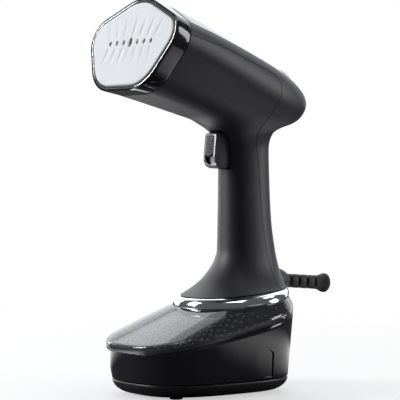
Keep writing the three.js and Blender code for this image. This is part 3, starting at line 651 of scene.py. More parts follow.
    def from_grip(self, p: Array) -> Array:
        """How far points lie outside the grip, roughly.

        Args:
            p: the points.

        Returns:
            One distance for each point, negative for inside.
        """
        z0 = p[:, 2].copy()
        for _ in range(2):
            z0 = p[:, 2] - smooth_rows(self.grip, z0)[:, 3] * p[:, 1]
        row = smooth_rows(self.grip, z0)
        a, yc, b = (row[:, 1] - row[:, 0]) / 2, (row[:, 1] + row[:, 0]) / 2, row[:, 2]
        rel = np.stack([p[:, 0], p[:, 1] - yc], 1)
        rho = np.maximum(np.linalg.norm(rel, axis=1), 1e-6)
        c, s = np.abs(rel[:, 0]) / rho, np.abs(rel[:, 1]) / rho
        r = ((c / b) ** self.power + (s / a) ** self.power) ** (-1 / self.power)
        return np.maximum(rho - r, p[:, 2] - self.top)

    def outside(self, p: Array) -> Array:
        """How far points lie outside the handset, with its two bodies melted together.

        Args:
            p: the points.

        Returns:
            One distance for each point, negative for inside.
        """
        a, b = self.from_barrel(p), self.from_grip(p)
        h = np.clip(0.5 + 0.5 * (b - a) / self.melt, 0, 1)
        return b + (a - b) * h - self.melt * h * (1 - h)

    def settle_on(self, p: Array, level: float, rounds: int = 7) -> Array:
        """Move points onto the surface at a level below or above the outside.

        Args:
            p: the points.
            level: millimetres outside, negative for inside.
            rounds: how often each point is moved.

        Returns:
            The moved points.
        """
        p = p.copy()
        for _ in range(rounds):
            f = self.outside(p) - level
            g = np.stack([(self.outside(p + d) - self.outside(p - d)) / 0.4
                          for d in np.eye(3) * 0.2], 1)
            step = f[:, None] * g / np.maximum((g * g).sum(1), 0.25)[:, None]
            size = np.linalg.norm(step, axis=1, keepdims=True)
            p -= step * np.minimum(1, 1.2 / np.maximum(size, 1e-9))
        return p


@dataclass
class HandsetShells:
    """The two moulded shells, the gloss panel, the button and its lens ring."""

    form: HandsetForm
    voxel: float = 1.5
    wall: float = 2.3
    gap: float = 0.45
    parting: Array = field(default_factory=lambda: np.array([
        [-89, 258.4], [-86, 257.6], [-50, 248.8], [-15.8, 238.2], [0.6, 232.8], [6.6, 229.3], [9.6, 223.4],
        [8.6, 215.9], [4.5, 204.5], [0.6, 193], [0.4, 184], [3.3, 169.6], [4.8, 148.3], [6.4, 126],
        [9.8, 99.3], [12, 76], [12.6, 66], [12.8, 60]]))
    panel: Array = field(default_factory=lambda: np.array([
        [17.5, 41.5], [50, 38.5], [80, 33.5], [105, 27.5], [125, 21.5], [138, 16.0], [146, 9.5],
        [150.5, 2.0]]))
    barrel_places: tuple[float, ...] = (10, 40, 75, 100, 118, 132, 143, 151, 156.5, 159.3)
    grip_places: tuple[float, ...] = (68.5, 72.9, 78, 86, 96, 110, 150, 184, 193, 202, 209)
    head_end: float = 11.2
    foot_end: float = 69.8
    foot_rise: float = 0.085
    button_s: float = 135.0
    button_r: float = 5.6
    lens_in: float = 5.9
    lens_out: float = 8.4

    def line(self) -> Array:
        """The parting line as a smooth curve.

        Returns:
            Its points, in y and z.
        """
        pts = self.parting
        run = np.concatenate([[0], np.cumsum(np.linalg.norm(np.diff(pts, axis=0), axis=1))])
        return smooth_rows(np.column_stack([run, pts]), np.linspace(0, run[-1], 120))

    def blank(self) -> bpy.types.Object:
        """Hollow handset before it is parted.

        Returns:
            One object: the outside surface and the inside surface.
        """
        form = self.form
        tube = Bench.loft("tube", [head(*form.section(s).T, s) for s in self.barrel_places])
        grips = []
        for z, (yf, yr, b, k) in zip(self.grip_places, smooth_rows(form.grip, np.array(self.grip_places))):
            ring = oval(64, b, (yr - yf) / 2, (yr - yf) / 2, form.power) + [0, (yr + yf) / 2]
            grips.append(np.column_stack([ring, z + k * ring[:, 1]]))
        stem = Bench.loft("stem", grips)
        Bench.combine(tube, stem, Solver.JOIN)
        cells = tube.modifiers.new("cells", "REMESH")
        cells.mode = "VOXEL"
        cells.voxel_size = self.voxel / 1000.0
        Bench.settle(tube)
        mesh = tube.data
        co = np.empty(len(mesh.vertices) * 3)
        mesh.vertices.foreach_get("co", co)
        p = co.reshape(-1, 3) * 1000 - [0, SHIFT_Y, 0]
        faces = [tuple(f.vertices) for f in mesh.polygons]
        bpy.data.objects.remove(tube)
        ends = self._ends(p)
        outer = np.where(ends[:, None], p, form.settle_on(p, 0.0))
        inner = np.where(ends[:, None], p, form.settle_on(outer, -self.wall))
        shell = Bench.piece("main_shell_fine", outer, faces)
        hollow = Bench.piece("hollow", self._shrink(inner, ends), faces)
        Bench.combine(shell, hollow, Solver.CUT)
        return shell

    def _ends(self, p: Array) -> Array:
        """Which points belong to the flat ends that are cut away."""
        s = (p[:, 1] - HEAD_Y) * math.cos(TILT) - (p[:, 2] - HEAD_Z) * math.sin(TILT)
        return (s < self.head_end) | (p[:, 2] < self.foot_end + self.foot_rise * p[:, 1])

    def _shrink(self, p: Array, ends: Array) -> Array:
        """Draw the inside's flat ends in, so that the two surfaces never meet.

        Args:
            p: the inside points.
            ends: which of them belong to the flat ends.

        Returns:
            The points after the move.
        """
        out = p.copy()
        s = (p[:, 1] - HEAD_Y) * math.cos(TILT) - (p[:, 2] - HEAD_Z) * math.sin(TILT)
        front = ends & (s < self.head_end)
        mid = head(np.array([0.0]), np.array([2.0]), np.array([12.4]))[0]
        out[front] = mid + (p[front] - mid) * 0.93
        low = ends & ~front
        out[low] = [0, -10, 71.0] + (p[low] - [0, -10, 70.0]) * [0.9, 0.9, 1.0]
        return out

    def region(self, name: str, outline: Array) -> bpy.types.Object:
        """Tool as wide as the handset with an outline in y and z."""
        return Bench.prism(name, outline, -90.0, 90.0, run_across)

    def seat(self, grow: float, low: float, high: float, top: bool = False) -> bpy.types.Object:
        """Slab that follows the barrel's roof under the gloss panel.

        Args:
            grow: how far its outline stands outside the panel's.
            low: its underside, from the roof.
            high: its upper side, from the roof.
            top: keep it as a finished piece, with eased edges.

        Returns:
            The slab.
        """
        s = np.concatenate([np.linspace(17.5 - grow, 138, 60), np.linspace(139, 150.5 + grow, 16)])
        w = smooth_rows(self.panel, s)[:, 0] + grow
        u = np.sin(np.linspace(-1, 1, 45) * np.pi / 2)
        x = (w[:, None] * u).ravel()
        ss = np.repeat(s, len(u))
        h = self.form.roof(x, np.clip(ss, 15, 159))
        n, m = len(u), len(s)
        ease = np.zeros_like(h)
        if top:
            aside = w[:, None] * (1 - np.abs(u))
            edge = np.minimum(aside, np.minimum(s - s[0], s[-1] - s)[:, None]).ravel()
            ease = 0.35 * np.clip(1 - edge / 0.6, 0, 1) ** 2
        upper, under = head(x, h + high - ease, ss), head(x, h + low, ss)
        faces = []
        for i in range(m - 1):
            for j in range(n - 1):
                a = i * n + j
                faces.append((a, a + 1, a + n + 1, a + n))
                faces.append(tuple(v + n * m for v in (a, a + n, a + n + 1, a + 1)))
        rim = (list(range(n)) + [i * n + n - 1 for i in range(1, m)]
               + [(m - 1) * n + j for j in range(n - 2, -1, -1)] + [i * n for i in range(m - 2, 0, -1)])
        for a, b in zip(rim, rim[1:] + rim[:1]):
            faces.append((a, b, b + n * m, a + n * m))
        return Bench.piece("top_panel_fine" if top else "seat", np.concatenate([upper, under]), faces)

    def bore(self, r: float) -> bpy.types.Object:
        """Round tool through the roof at the button.

        Args:
            r: its radius.

        Returns:
            The tool.
        """
        q = 2 * np.pi * np.arange(48) / 48
        ring = np.stack([r * np.cos(q), self.button_s + r * np.sin(q)], 1)
        return Bench.prism("bore", ring, 8.0, 60.0, lambda x, s, h: head(x, h, s))

    def ring_on_roof(self, name: str, inside: float, outside: float, proud: float,
                     deep: float) -> bpy.types.Object:
        """Disc or ring that follows the roof round the button.

        Args:
            name: the piece's name.
            inside: inner radius, 0 for a disc.
            outside: outer radius.
            proud: how far it stands above the roof.
            deep: its thickness.

        Returns:
            The piece.
        """
        q = 2 * np.pi * np.arange(72) / 72
        flat = np.linspace(outside - 0.6, max(inside + 0.5, 0.3), 6)
        radii = np.array([outside, outside, outside - 0.3, *flat])
        drop = np.array([deep, 0.35, 0.05, *np.zeros(6)])
        if inside:
            radii = np.append(radii, [inside + 0.2, inside, inside])
            drop = np.append(drop, [0.05, 0.35, deep])
        else:
            drop[3:] += 0.5 * np.clip(1 - (radii[3:] / outside) ** 2, 0, 1)
        rings = []
        for r, d in zip(radii, drop):
            x, s = r * np.cos(q), self.button_s + r * np.sin(q)
            rings.append(head(x, self.form.roof(x, s) + proud - d, s))
        if not inside:
            rings.insert(0, (rings[0] - rings[0].mean(0)) * 0.98 + rings[0].mean(0))
        return Bench.loft(name, rings, closed=bool(inside))

    def build(self) -> None:
        """Make the shells and everything set into the roof."""
        blank = self.blank()
        front = head(np.zeros(2), np.array([-75.0, 75.0]), np.full(2, 15.3))[:, 1:]
        keep = self.region("keep", np.array([[-80.0, 66.4], front[0], front[1], [100, 330], [100, 81.7]]))
        Bench.combine(blank, keep, Solver.KEEP)
        Bench.combine(blank, self.trigger_slot(), Solver.CUT)
        line = self.line()
        along = np.gradient(line, axis=0)
        normal = np.stack([-along[:, 1], along[:, 0]], 1) / np.linalg.norm(along, axis=1)[:, None]
        below = np.concatenate([line - normal * self.gap / 2, [[-120, 55], [-120, 255]]])
        above = np.concatenate([line + normal * self.gap / 2, [[110, 55], [110, 340], [-90, 340]]])
        spine = blank.copy()
        spine.data = blank.data.copy()
        spine.name = "spine_cover_fine"
        bpy.context.scene.collection.objects.link(spine)
        Bench.combine(blank, self.region("front_half", below), Solver.KEEP)
        Bench.combine(spine, self.region("rear_half", above), Solver.KEEP)
        boss, hole = CordExit().boss()
        Bench.combine(spine, boss, Solver.JOIN)
        Bench.combine(spine, hole, Solver.CUT)
        Bench.combine(spine, self.seat(0.3, -1.4, 6.0), Solver.CUT)
        Bench.combine(spine, self.bore(self.lens_out + 0.25), Solver.CUT)
        for shell, node in ((blank, "main_shell"), (spine, "spine_cover")):
            Bench.shade(shell, 40)
            CHARCOAL.dress(shell)
            place(shell, "handset", node)
        top = self.seat(0.0, -1.1, 0.12, top=True)
        Bench.combine(top, self.bore(self.lens_out + 0.25), Solver.CUT)
        Bench.shade(top, 40)
        CROWN.dress(top)
        place(top, "handset", "top_panel")
        lens = self.ring_on_roof("indicator_lens_fine", self.lens_in, self.lens_out, 1.4, 4.2)
        AMBER.dress(Bench.shade(lens, 50))
        place(lens, "handset", "indicator_lens")
        button = self.ring_on_roof("power_button_fine", 0.0, self.button_r, 0.9, 3.9)
        SATIN.dress(Bench.shade(button, 50))
        place(button, "power_button", "power_button")

    @staticmethod
    def trigger_slot() -> bpy.types.Object:
        """Tool that opens the grip for the trigger."""
        side = rounded([(-40, 190.3), (-10, 190.3), (-10, 162.5), (-40, 162.5)], [1, 3.5, 3.5, 1], 6)
        return Bench.prism("slot", side, -7.6, 7.6, run_across)


def place(piece: bpy.types.Object, body: str, *nodes: str) -> None:
    """Let a finer piece ride on a body and stand for CAD nodes.

    Args:
        piece: the finer piece.
        body: the body it rides on.
        nodes: the nodes it stands for, if any.
    """
    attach(piece, body)
    if nodes:
        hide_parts(*nodes)
    log.info("%s: %d faces on %s", piece.name, len(piece.data.polygons), body)


@dataclass
class CordExit:
    """Ribbed sleeve at the cord exit and the boss it sits in."""

    y: float = 39.4
    z: float = 78.3
    droop: float = math.radians(5.0)
    sides: int = 64
    slot_rows: int = 7
    slot_first: float = 4.2
    slot_pitch: float = 4.0

    def spot(self, x: Array, u: Array, v: Array) -> Array:
        """Points from across, up and along the sleeve."""
        c, s = math.cos(self.droop), math.sin(self.droop)
        return np.stack([x, self.y + v * c + u * s, self.z + u * c - v * s], -1)

    def turned(self, name: str, profile: Sequence[tuple[float, float]],
               closed: bool = False) -> bpy.types.Object:
        """Round piece on the sleeve's axis.

        Args:
            name: the piece's name.
            profile: radius and place along, for each step.
            closed: the last step joins the first, so the piece has a hole through it.

        Returns:
            The piece.
        """
        q = 2 * np.pi * np.arange(self.sides) / self.sides
        rings = [self.spot(r * np.cos(q), r * np.sin(q), np.full(len(q), v)) for r, v in profile]
        return Bench.loft(name, rings, closed)

    def boss(self) -> tuple[bpy.types.Object, bpy.types.Object]:
        """Boss on the spine cover, kept clear of the bright ring.

        Returns:
            The boss, and the tool for the hole through it.
        """
        cone = self.turned("boss", [(9.8, -10.0), (9.2, -6.5), (8.2, -3.0), (7.2, -0.6), (6.8, 0.2),
                                    (6.3, 0.5)])
        hole = self.turned("hole", [(3.5, -22), (3.5, -6.4), (5.55, -6.4), (5.55, 6)])
        ring = oval(self.sides, 47, 50, 46, 2.1) + [0, -9]
        low = np.column_stack([ring, np.full(self.sides, 60.0)])
        high = np.column_stack([ring, 73.3 + 0.085 * ring[:, 1]])
        Bench.combine(cone, Bench.loft("trim", [low, high]), Solver.CUT)
        return cone, hole

    def build(self) -> None:
        """Make the sleeve with its staggered slots."""
        outside = [(3.1, -10.4), (3.1, -6.1), (4.9, -6.1), (5.2, -5.8), (5.2, 30), (5.35, 32.5), (5.8, 35),
                   (6.5, 37), (7.1, 38.4), (7.35, 39.6), (7.2, 40.8), (6.6, 41.4)]
        inside = [(4.6, 41.2), (3.6, 39.0), (3.4, 34), (3.4, -4), (2.3, -4.2), (2.3, -10.4)]
        sleeve = self.turned("strain_relief_fine", outside + inside, closed=True)
        loop = rounded([(-3.9, -1.25), (3.9, -1.25), (3.9, 1.25), (-3.9, 1.25)], [1.2] * 4, 5)
        for row in range(self.slot_rows):
            for side in (1, -1):
                at = self.slot_first + self.slot_pitch * row
                across = row % 2 == 0
                tool = Bench.prism("rib_slot", loop, 3.7 * side, 8.0 * side,
                                   lambda a, b, c, at=at, across=across: self.spot(
                                       c if across else a, a if across else c, b + at))
                Bench.combine(sleeve, tool, Solver.CUT)
        RUBBER.dress(Bench.shade(sleeve, 35, 0.25))
        place(sleeve, "handset", "strain_relief")


# ------------------------------------------------------------------ steam head
@dataclass
class SteamHead:
    """Ceramic plate with its pleats and holes, the seal line, the bright line and the collar."""

    form: HandsetForm
    hole_span: float = 25.7
    pleat_up: float = 21.5
    pleat_down: float = 19.0
    pleat_depth: float = 0.62
    mesh_step: float = 0.62
    rim: float = 1.5

    def plate_line(self, grow: float = 0.0, steps: int = 18) -> Array:
        """Outline of the plate.

        Args:
            grow: how far it is moved outwards.
            steps: points along each fillet, less one.

        Returns:
            Its points, across and up.
        """
        corners = [(0, 33.8), (55.4, 10.8), (29.8, -32.6), (-29.8, -32.6), (-55.4, 10.8)]
        line = rounded(corners, [39.8, 13.6, 28, 28, 13.6], steps)
        return grown(line, grow) if grow else line

    def pleats(self, p: Array) -> Array:
        """How deep the pressed pleats lie at points of the plate.

        Args:
            p: points, across and up.

        Returns:
            One depth in millimetres for each point.
        """
        deep = np.zeros(len(p))
        for i in range(-3, 4):
            foot = np.array([self.hole_span * i / 3, 0.0])
            for up in (1, -1):
                reach = self.pleat_up - 0.55 * abs(i) if up > 0 else self.pleat_down - 0.5 * abs(i)
                lean = 0.46 * i if up > 0 else 0.30 * i
                tip = foot + [lean * reach / 3.2, up * reach]
                start = foot + (tip - foot) * 0.16
                run = tip - start
                size = float(np.linalg.norm(run))
                rel = p - start
                t = rel @ run / size**2
                side = (rel[:, 0] * run[1] - rel[:, 1] * run[0]) / size * (1 if i >= 0 else -1)
                fade = np.clip(t / 0.12, 0, 1) * np.clip((1 - t) / 0.55, 0, 1)
                gentle = np.clip(1 - side / 3.4, 0, 1) * (side >= 0)
                steep = np.clip(1 + side / 0.7, 0, 1) * (side < 0)
                deep = np.maximum(deep, self.pleat_depth * fade * (gentle + steep))
        return deep

    def plate(self) -> bpy.types.Object:
        """The ceramic plate as a relief over its outline.

        Returns:
            The plate, with a rounded rim, pleats and seven holes.
        """
        line = self.plate_line()
        loops = [self.plate_line(-g) for g in (0.0, 0.18, 0.5, 0.95, 1.5)]
        holes = []
        for i in range(-3, 4):
            rx, ry = (1.7, 3.5) if i == 0 else (1.25, 1.8)
            q = 2 * np.pi * np.arange(20) / 20
            holes.append(np.stack([self.hole_span * i / 3 + rx * np.cos(q), ry * np.sin(q)], 1))
        gx, gy = np.meshgrid(np.arange(-56, 56, self.mesh_step), np.arange(-34, 34, self.mesh_step))
        grid = np.stack([gx.ravel(), gy.ravel()], 1)
        inside = self._inside(grid, line) & (along_edge(grid, line) > 1.9)
        for c in holes:
            mid = c.mean(0)
            inside &= np.hypot(*((grid - mid) / (np.ptp(c, axis=0) / 2 + 0.45)).T) > 1
        pts, edges = [], []
        for loop in [*loops, *holes]:
            base = len(pts)
            pts += list(loop)
            edges += [(base + i, base + (i + 1) % len(loop)) for i in range(len(loop))]
        pts += list(grid[inside])
        co, _, tris, *_ = delaunay_2d_cdt([Vector(p) for p in pts], edges, [], 0, 1e-5)
        co = np.array([tuple(v) for v in co])
        centre = np.array([co[list(t)].mean(0) for t in tris])
        ok = self._inside(centre, line)
        for c in holes:
            ok &= ~self._inside(centre, c)
        keep = [t for t, good in zip(tris, ok) if good]
        d = along_edge(co, line)
        fall = self.rim - np.sqrt(np.clip(self.rim**2 - (self.rim - d) ** 2, 0, None))
        depth = np.where(d < self.rim, fall, 0) * 0.8
        depth += self.pleats(co) * np.clip((d - 2) / 3, 0, 1)
        for c in holes:
            dc = along_edge(co, c)
            depth += 0.35 * np.clip(1 - dc / 0.5, 0, 1) ** 2
        front = head(co[:, 0], co[:, 1], depth)
        back = head(co[:, 0], co[:, 1], np.where(d < 4, 3.4, 1.5))
        n = len(co)
        faces = [tuple(t) for t in keep] + [tuple(v + n for v in reversed(t)) for t in keep]
        count: dict[tuple[int, int], int] = {}
        for t in keep:
            for a, b in zip(t, [*t[1:], t[0]]):
                count[(a, b)] = count.get((a, b), 0) + 1
        for a, b in count:
            if (b, a) not in count:
                faces.append((a, b, b + n, a + n))
        return Bench.piece("steam_plate_fine", np.concatenate([front, back]), faces)

    @staticmethod
    def _inside(p: Array, loop: Array) -> Array:
        """Which points lie inside a closed loop.

        Args:
            p: the points, two columns.
            loop: the closed loop.

        Returns:
            True or False for each point.
        """
        hit = np.zeros(len(p), bool)
        for a, b in zip(loop, np.roll(loop, -1, 0)):
            cross = (a[1] > p[:, 1]) != (b[1] > p[:, 1])
            with np.errstate(divide="ignore", invalid="ignore"):
                x = (b[0] - a[0]) * (p[:, 1] - a[1]) / (b[1] - a[1]) + a[0]
            hit ^= cross & (p[:, 0] < x)
        return hit

    def hoop(self, name: str, profile: Sequence[tuple[float, float]]) -> bpy.types.Object:
        """Closed hoop round the plate from a profile of growth and depth."""
        rings = [head(*self.plate_line(g).T, s) for g, s in profile]
        return Bench.loft(name, rings, closed=True)

    def collar(self) -> bpy.types.Object:
        """Gloss collar between the plate and the barrel.

        Returns:
            The collar.
        """
        wide = self.form.section(15.0, 18)
        rings = []
        for g, s in ((2.75, 1.3), (2.75, 0.75), (2.9, 0.45), (3.2, 0.45), (3.5, 0.8), (3.65, 1.5)):
            rings.append(head(*self.plate_line(g).T, s))
        start = self.plate_line(3.65)
        for t in (0.15, 0.35, 0.55, 0.75, 0.93):
            ring = start + (wide - start) * (t * 0.75 + 0.25 * t * t)
            rings.append(head(ring[:, 0], ring[:, 1], 1.5 + (14.9 - 1.5) * t))
        for inset, s in ((0.05, 14.75), (0.25, 14.97), (0.6, 15.0), (2.4, 15.0)):
            rings.append(head(*grown(wide, -inset).T, s))
        rings.append(head(*self.plate_line(2.75).T, 5.4))
        return Bench.loft("head_collar_fine", rings, closed=True)

    def build(self) -> None:
        """Make and dress the whole head."""
        plate = self.plate()
        CERAMIC.dress(Bench.shade(plate, 60))
        place(plate, "handset", "steam_plate")
        gasket = self.hoop("plate_gasket_fine", [(0.3, 0.9), (0.5, 0.6), (1.05, 0.6), (1.25, 0.9),
                                                 (1.25, 5.4), (0.3, 5.4)])
        RUBBER.dress(Bench.shade(gasket, 40))
        place(gasket, "handset", "plate_gasket")
        trim = self.hoop("plate_trim_ring_fine", [(1.5, 1.3), (1.65, 0.95), (1.98, 0.8), (2.3, 0.95),
                                                  (2.45, 1.3), (2.45, 4.7), (1.5, 4.7)])
        SILVER.dress(Bench.shade(trim, 50))
        place(trim, "handset", "plate_trim_ring")
        collar = self.collar()
        GLOSS.dress(Bench.shade(collar, 50))
        place(collar, "handset", "head_collar")


# ------------------------------------------------------------------ trigger
@dataclass
class TriggerUnit:
    """Finger trigger with its bright face and the ribbed lock in it."""

    half: float = 7.0
    side: Array = field(default_factory=lambda: np.array([
        (-28.4, 189.0), (-29.2, 182), (-30.1, 172), (-29.9, 168.2), (-28.2, 165), (-25, 163.3),
        (-21, 163.0),
        (-16, 164.4), (-13.2, 166.6), (-12.2, 170), (-12.2, 179.5), (-10, 181), (-6.4, 182), (-5.2, 185.5),
        (-6.4, 188.6), (-9, 189.3), (-20, 189.6)]))
    fillets: tuple[float, ...] = (1.5, 8, 8, 2.2, 2.2, 2.2, 2.2, 2.2, 1.6, 1.6, 0.5, 1.2, 1.2, 1.6, 1.2,
                                  1.0, 6)
    origin: tuple[float, float, float] = (0.0, -29.2, 178.6)
    lean: tuple[float, float] = (0.0848, 0.9964)
    ribs: int = 7
    rib_pitch: float = 1.95

    def face(self, x: Array, up: Array, out: Array) -> Array:
        """Points about the trigger's face.

        Args:
            x: places across.
            up: places up along the face.
            out: places out of it.

        Returns:
            The points in three coordinates.
        """
        x, up, out = np.broadcast_arrays(np.asarray(x, float), up, out)
        y = self.origin[1] + up * self.lean[0] - out * self.lean[1]
        z = self.origin[2] + up * self.lean[1] + out * self.lean[0]
        return np.stack([x, y, z], -1)

    @staticmethod
    def slot_line(half: float, up: float, down: float) -> Array:
        """Outline that is squarer above and rounder below."""
        low = min(4.6, half - 0.1)
        return rounded([(half, up), (half, down), (-half, down), (-half, up)], [1.6, low, low, 1.6], 8)

    def build(self) -> None:
        """Make the trigger and its lock."""
        line = rounded(self.side, self.fillets, 4)
        body = Bench.prism("trigger_fine", line, -self.half, self.half, run_across)
        recess = Bench.prism("recess", self.slot_line(5.0, 8.7, -12.6), -3.2, 8.0, self.face)
        around = rounded([(-7.2, 183.7), (-10.8, 183.7), (-10.8, 187.3), (-7.2, 187.3)], [1.78] * 4, 6)
        pin = Bench.prism("pin_bore", around, -30, 30, run_across)
        Bench.combine(body, pin, Solver.CUT)
        soft = body.modifiers.new("soft", "BEVEL")
        soft.width, soft.segments, soft.limit_method = 0.0013, 3, "ANGLE"
        soft.angle_limit = math.radians(50)
        Bench.settle(body)
        Bench.combine(body, recess, Solver.CUT)
        Bench.shade(body, 35)
        CHARCOAL.dress(body)
        body.data.materials.append(RIM.make())
        # Faces that look forward, towards the front lamps, take the lighter, part-metallic grey.
        out = Vector((0, -self.lean[1], self.lean[0]))
        for poly in body.data.polygons:
            mid = poly.center
            forward = poly.normal.dot(out) > 0.55 and mid.z > 0.1655
            if forward and (mid - Vector((0, (self.origin[1] + SHIFT_Y) / 1000, mid.z))).y < 0.0035:
                poly.material_index = 1
        place(body, "trigger", "trigger")
        lock = Bench.prism("trigger_lock_fine", self.slot_line(4.45, 8.1, -7.0), -2.85, 0.55, self.face)
        rib = rounded([(-0.55, -0.5), (0.55, -0.5), (0.4, 0.85), (-0.4, 0.85)], [0.1, 0.1, 0.3, 0.3], 3)
        for i in range(self.ribs):
            at = 6.6 - self.rib_pitch * i
            tool = Bench.prism("rib", rib, -3.5, 3.5, lambda a, b, c, at=at: self.face(c, at + a, b + 0.5))
            Bench.combine(lock, tool, Solver.JOIN)
        SATIN.dress(Bench.shade(lock, 35, 0.2))
        place(lock, "trigger_lock", "trigger_lock")


# ------------------------------------------------------------------ tank
STUD_CORNERS = ((-1.15, 0, -0.1), (0, -1.5, -0.1), (1.15, 0, -0.1), (0, 1.5, -0.1),
                (-0.6, 0, 0.7), (0, -0.8, 0.7), (0.6, 0, 0.7), (0, 0.8, 0.7))
STUD_FACES = ((0, 1, 5, 4), (1, 2, 6, 5), (2, 3, 7, 6), (3, 0, 4, 7), (4, 5, 6, 7), (3, 2, 1, 0))


@dataclass
class TankUnit:
    """Water tank, its clear cover, the studded panel, the bright ring, the tray and the feet."""

    yc: float = -34.4
    b: float = 52.2
    front: float = 71.4
    rear: float = 63.2
    power: float = 2.92
    rise: float = 0.195
    sides: int = 192
    mark_y: float = 2.0
    stud_pitch: tuple[float, float] = (4.6, 3.7)
    stud_rows: int = 36
    stud_columns: int = 11

    def ring(self, z: float, slope: float, inset: float = 0.0, k: float = 1.0) -> Array:
        """Tank outline in a plane that rises to the rear.

        Args:
            z: height of the plane at the grip's axis.
            slope: how steeply it rises.
            inset: how far the outline is drawn in.
            k: scale of the outline.

        Returns:
            The points in three coordinates.
        """
        half, front, rear = (size * k - inset for size in (self.b, self.front, self.rear))
        line = oval(self.sides, half, front, rear, self.power)
        line = line + [0, self.yc]
        return np.column_stack([line, z + slope * line[:, 1]])

    def neck(self, low: bool, inset: float, z: float | None = None, slope: float | None = None) -> Array:
        """Outline of one edge of the bright ring.

        Args:
            low: the lower edge, or else the upper one.
            inset: how far the outline is drawn in.
            z: its height at the grip's axis, if not the edge's own.
            slope: how steeply it rises, if not the edge's own.

        Returns:
            The points in three coordinates.
        """
        yc, b, a, z0, k0 = (-10.3, 43.4, 41.3, 66.4, 0.096) if low else (-7.9, 35.6, 40.0, 72.6, 0.085)
        line = oval(self.sides, b - inset, a - inset, a - inset, 2.1) + [0, yc]
        height, rise = z0 if z is None else z, k0 if slope is None else slope
        return np.column_stack([line, height + rise * line[:, 1]])

    def foot_ring(self, z: float, inset: float = 0.0) -> Array:
        """Outline at the tank's foot."""
        return self.ring(z, 0.0, inset, 0.937)

    def wall_ring(self, t: float, inset: float, drop: float = 0.0) -> Array:
        """Ring on the tank's wall, from its foot at 0 to the seam at 1."""
        low, high = self.foot_ring(11.0, inset), self.ring(52.75 - drop, self.rise, 0.2 + inset)
        return low + (high - low) * t

    def body(self) -> bpy.types.Object:
        """The gloss tank with its grips, filler hole and release opening.

        Returns:
            The tank.
        """
        rings = [self.foot_ring(11.3, 1.1), self.foot_ring(11.35, 0.5), self.foot_ring(11.8, 0.08)]
        rings += [self.wall_ring(t, 0.0) for t in np.linspace(0.03, 0.975, 14)]
        rings += [self.wall_ring(t, inset, 0.2) for t, inset in ((0.988, 0.12), (0.993, 0.5), (0.993, 2.2))]
        rings += [self.wall_ring(t, 2.4) for t in np.linspace(0.97, 0.09, 5)]
        rings += [self.foot_ring(13.8, 4.0)]
        tank = Bench.loft("tank_body_fine", rings)
        keep = Bench.loft("skin", [self.foot_ring(7.0, 0.95), self.ring(58.0, self.rise, 1.15)])
        arch = [(-15.6 + 8.3 * math.cos(q), 28.6 + 5.0 * math.sin(q)) for q in np.linspace(0, math.pi, 25)]
        arch = np.array([*arch, (-23.9, 13.0), (-7.3, 13.0)])
        grips = Bench.prism("grips", arch, -70.0, 70.0, run_across)
        Bench.combine(grips, keep, Solver.CUT)
        Bench.combine(tank, grips, Solver.CUT)
        q = 2 * np.pi * np.arange(48) / 48
        for r, x0, x1 in ((8.7, -60.0, -38.0), (10.9, -60.0, -47.6)):
            round_hole = np.stack([-6 + r * np.cos(q), 36 + r * np.sin(q)], 1)
            Bench.combine(tank, Bench.prism("filler", round_hole, x0, x1, run_across), Solver.CUT)
        opening = rounded([(-8.3, 47.7), (8.3, 47.7), (8.3, 55.3), (-8.3, 55.3)], [0.8] * 4, 4)
        latch = Bench.prism("latch", opening, 15.0, 40.0, run_back)
        Bench.combine(tank, latch, Solver.CUT)
        return tank

    def crown(self, u: float, inset: float, drop: float) -> Array:
        """Ring of the cover's crown, which is slightly arched.

        Args:
            u: its place, from the band at 0 to the neck at 1.
            inset: how far it is drawn in.
            drop: how far it is lowered.

        Returns:
            The points in three coordinates.
        """
        low = self.ring(58.6 - drop, self.rise, inset)
        high = self.neck(True, inset - 0.7, 66.1 - drop)
        out = low + (high - low) * u
        out[:, 2] += 0.45 * math.sin(math.pi * u)
        return out

    def cover(self) -> bpy.types.Object:
        """The clear cover: band, crown and the dish the handset sits in.

        Returns:
            The cover, with the port of the dock through it.
        """
        q = 2 * np.pi * np.arange(self.sides) / self.sides
        port = np.stack([8.1 * np.sin(q), -12 + 8.1 * np.cos(q)], 1)
        rings = [self.ring(z, self.rise, inset) for z, inset in (
            (52.85, 0.5), (53.0, 0.2), (55.6, 0.08), (57.4, 0.02), (58.1, 0.18), (58.5, 0.55))]
        rings += [self.crown(u, 0.0, 0.0) for u in (0.03, 0.08, 0.16, 0.28, 0.42, 0.58, 0.74, 0.88, 0.965)]
        rings += [self.neck(True, -0.25, 66.15), self.neck(True, 1.2, 66.1), self.neck(True, 2.6, 65.6)]
        rings += [self.neck(True, 3.3, 63.0, 0.092), self.neck(True, 4.8, 59.9, 0.09)]
        rings += [np.column_stack([port, z + 0.09 * port[:, 1]]) for z in (59.9, 57.9)]
        rings += [self.neck(True, 3.0, 57.9, 0.09), self.neck(True, 1.6, 63.4, 0.092)]
        rings += [self.crown(u, 1.5, 1.7) for u in (0.9, 0.74, 0.58, 0.42, 0.28, 0.16, 0.08, 0.04)]
        rings += [self.ring(56.2, self.rise, 2.1), self.ring(52.85, self.rise, 2.2)]
        return Bench.loft("tank_cover_fine", rings, closed=True)

    def swollen(self, t: float, swell: float) -> Array:
        """Ring on the bright ring's face.

        Args:
            t: its place, from the lower edge at 0 to the upper edge at 1.
            swell: how far it stands out and up.

        Returns:
            The points in three coordinates.
        """
        low, high = self.neck(True, 0.0), self.neck(False, 0.0)
        out = low + (high - low) * t
        away = out[:, :2] - out[:, :2].mean(0)
        away /= np.linalg.norm(away, axis=1)[:, None]
        out[:, :2] += away * swell
        out[:, 2] += swell * 0.9
        return out

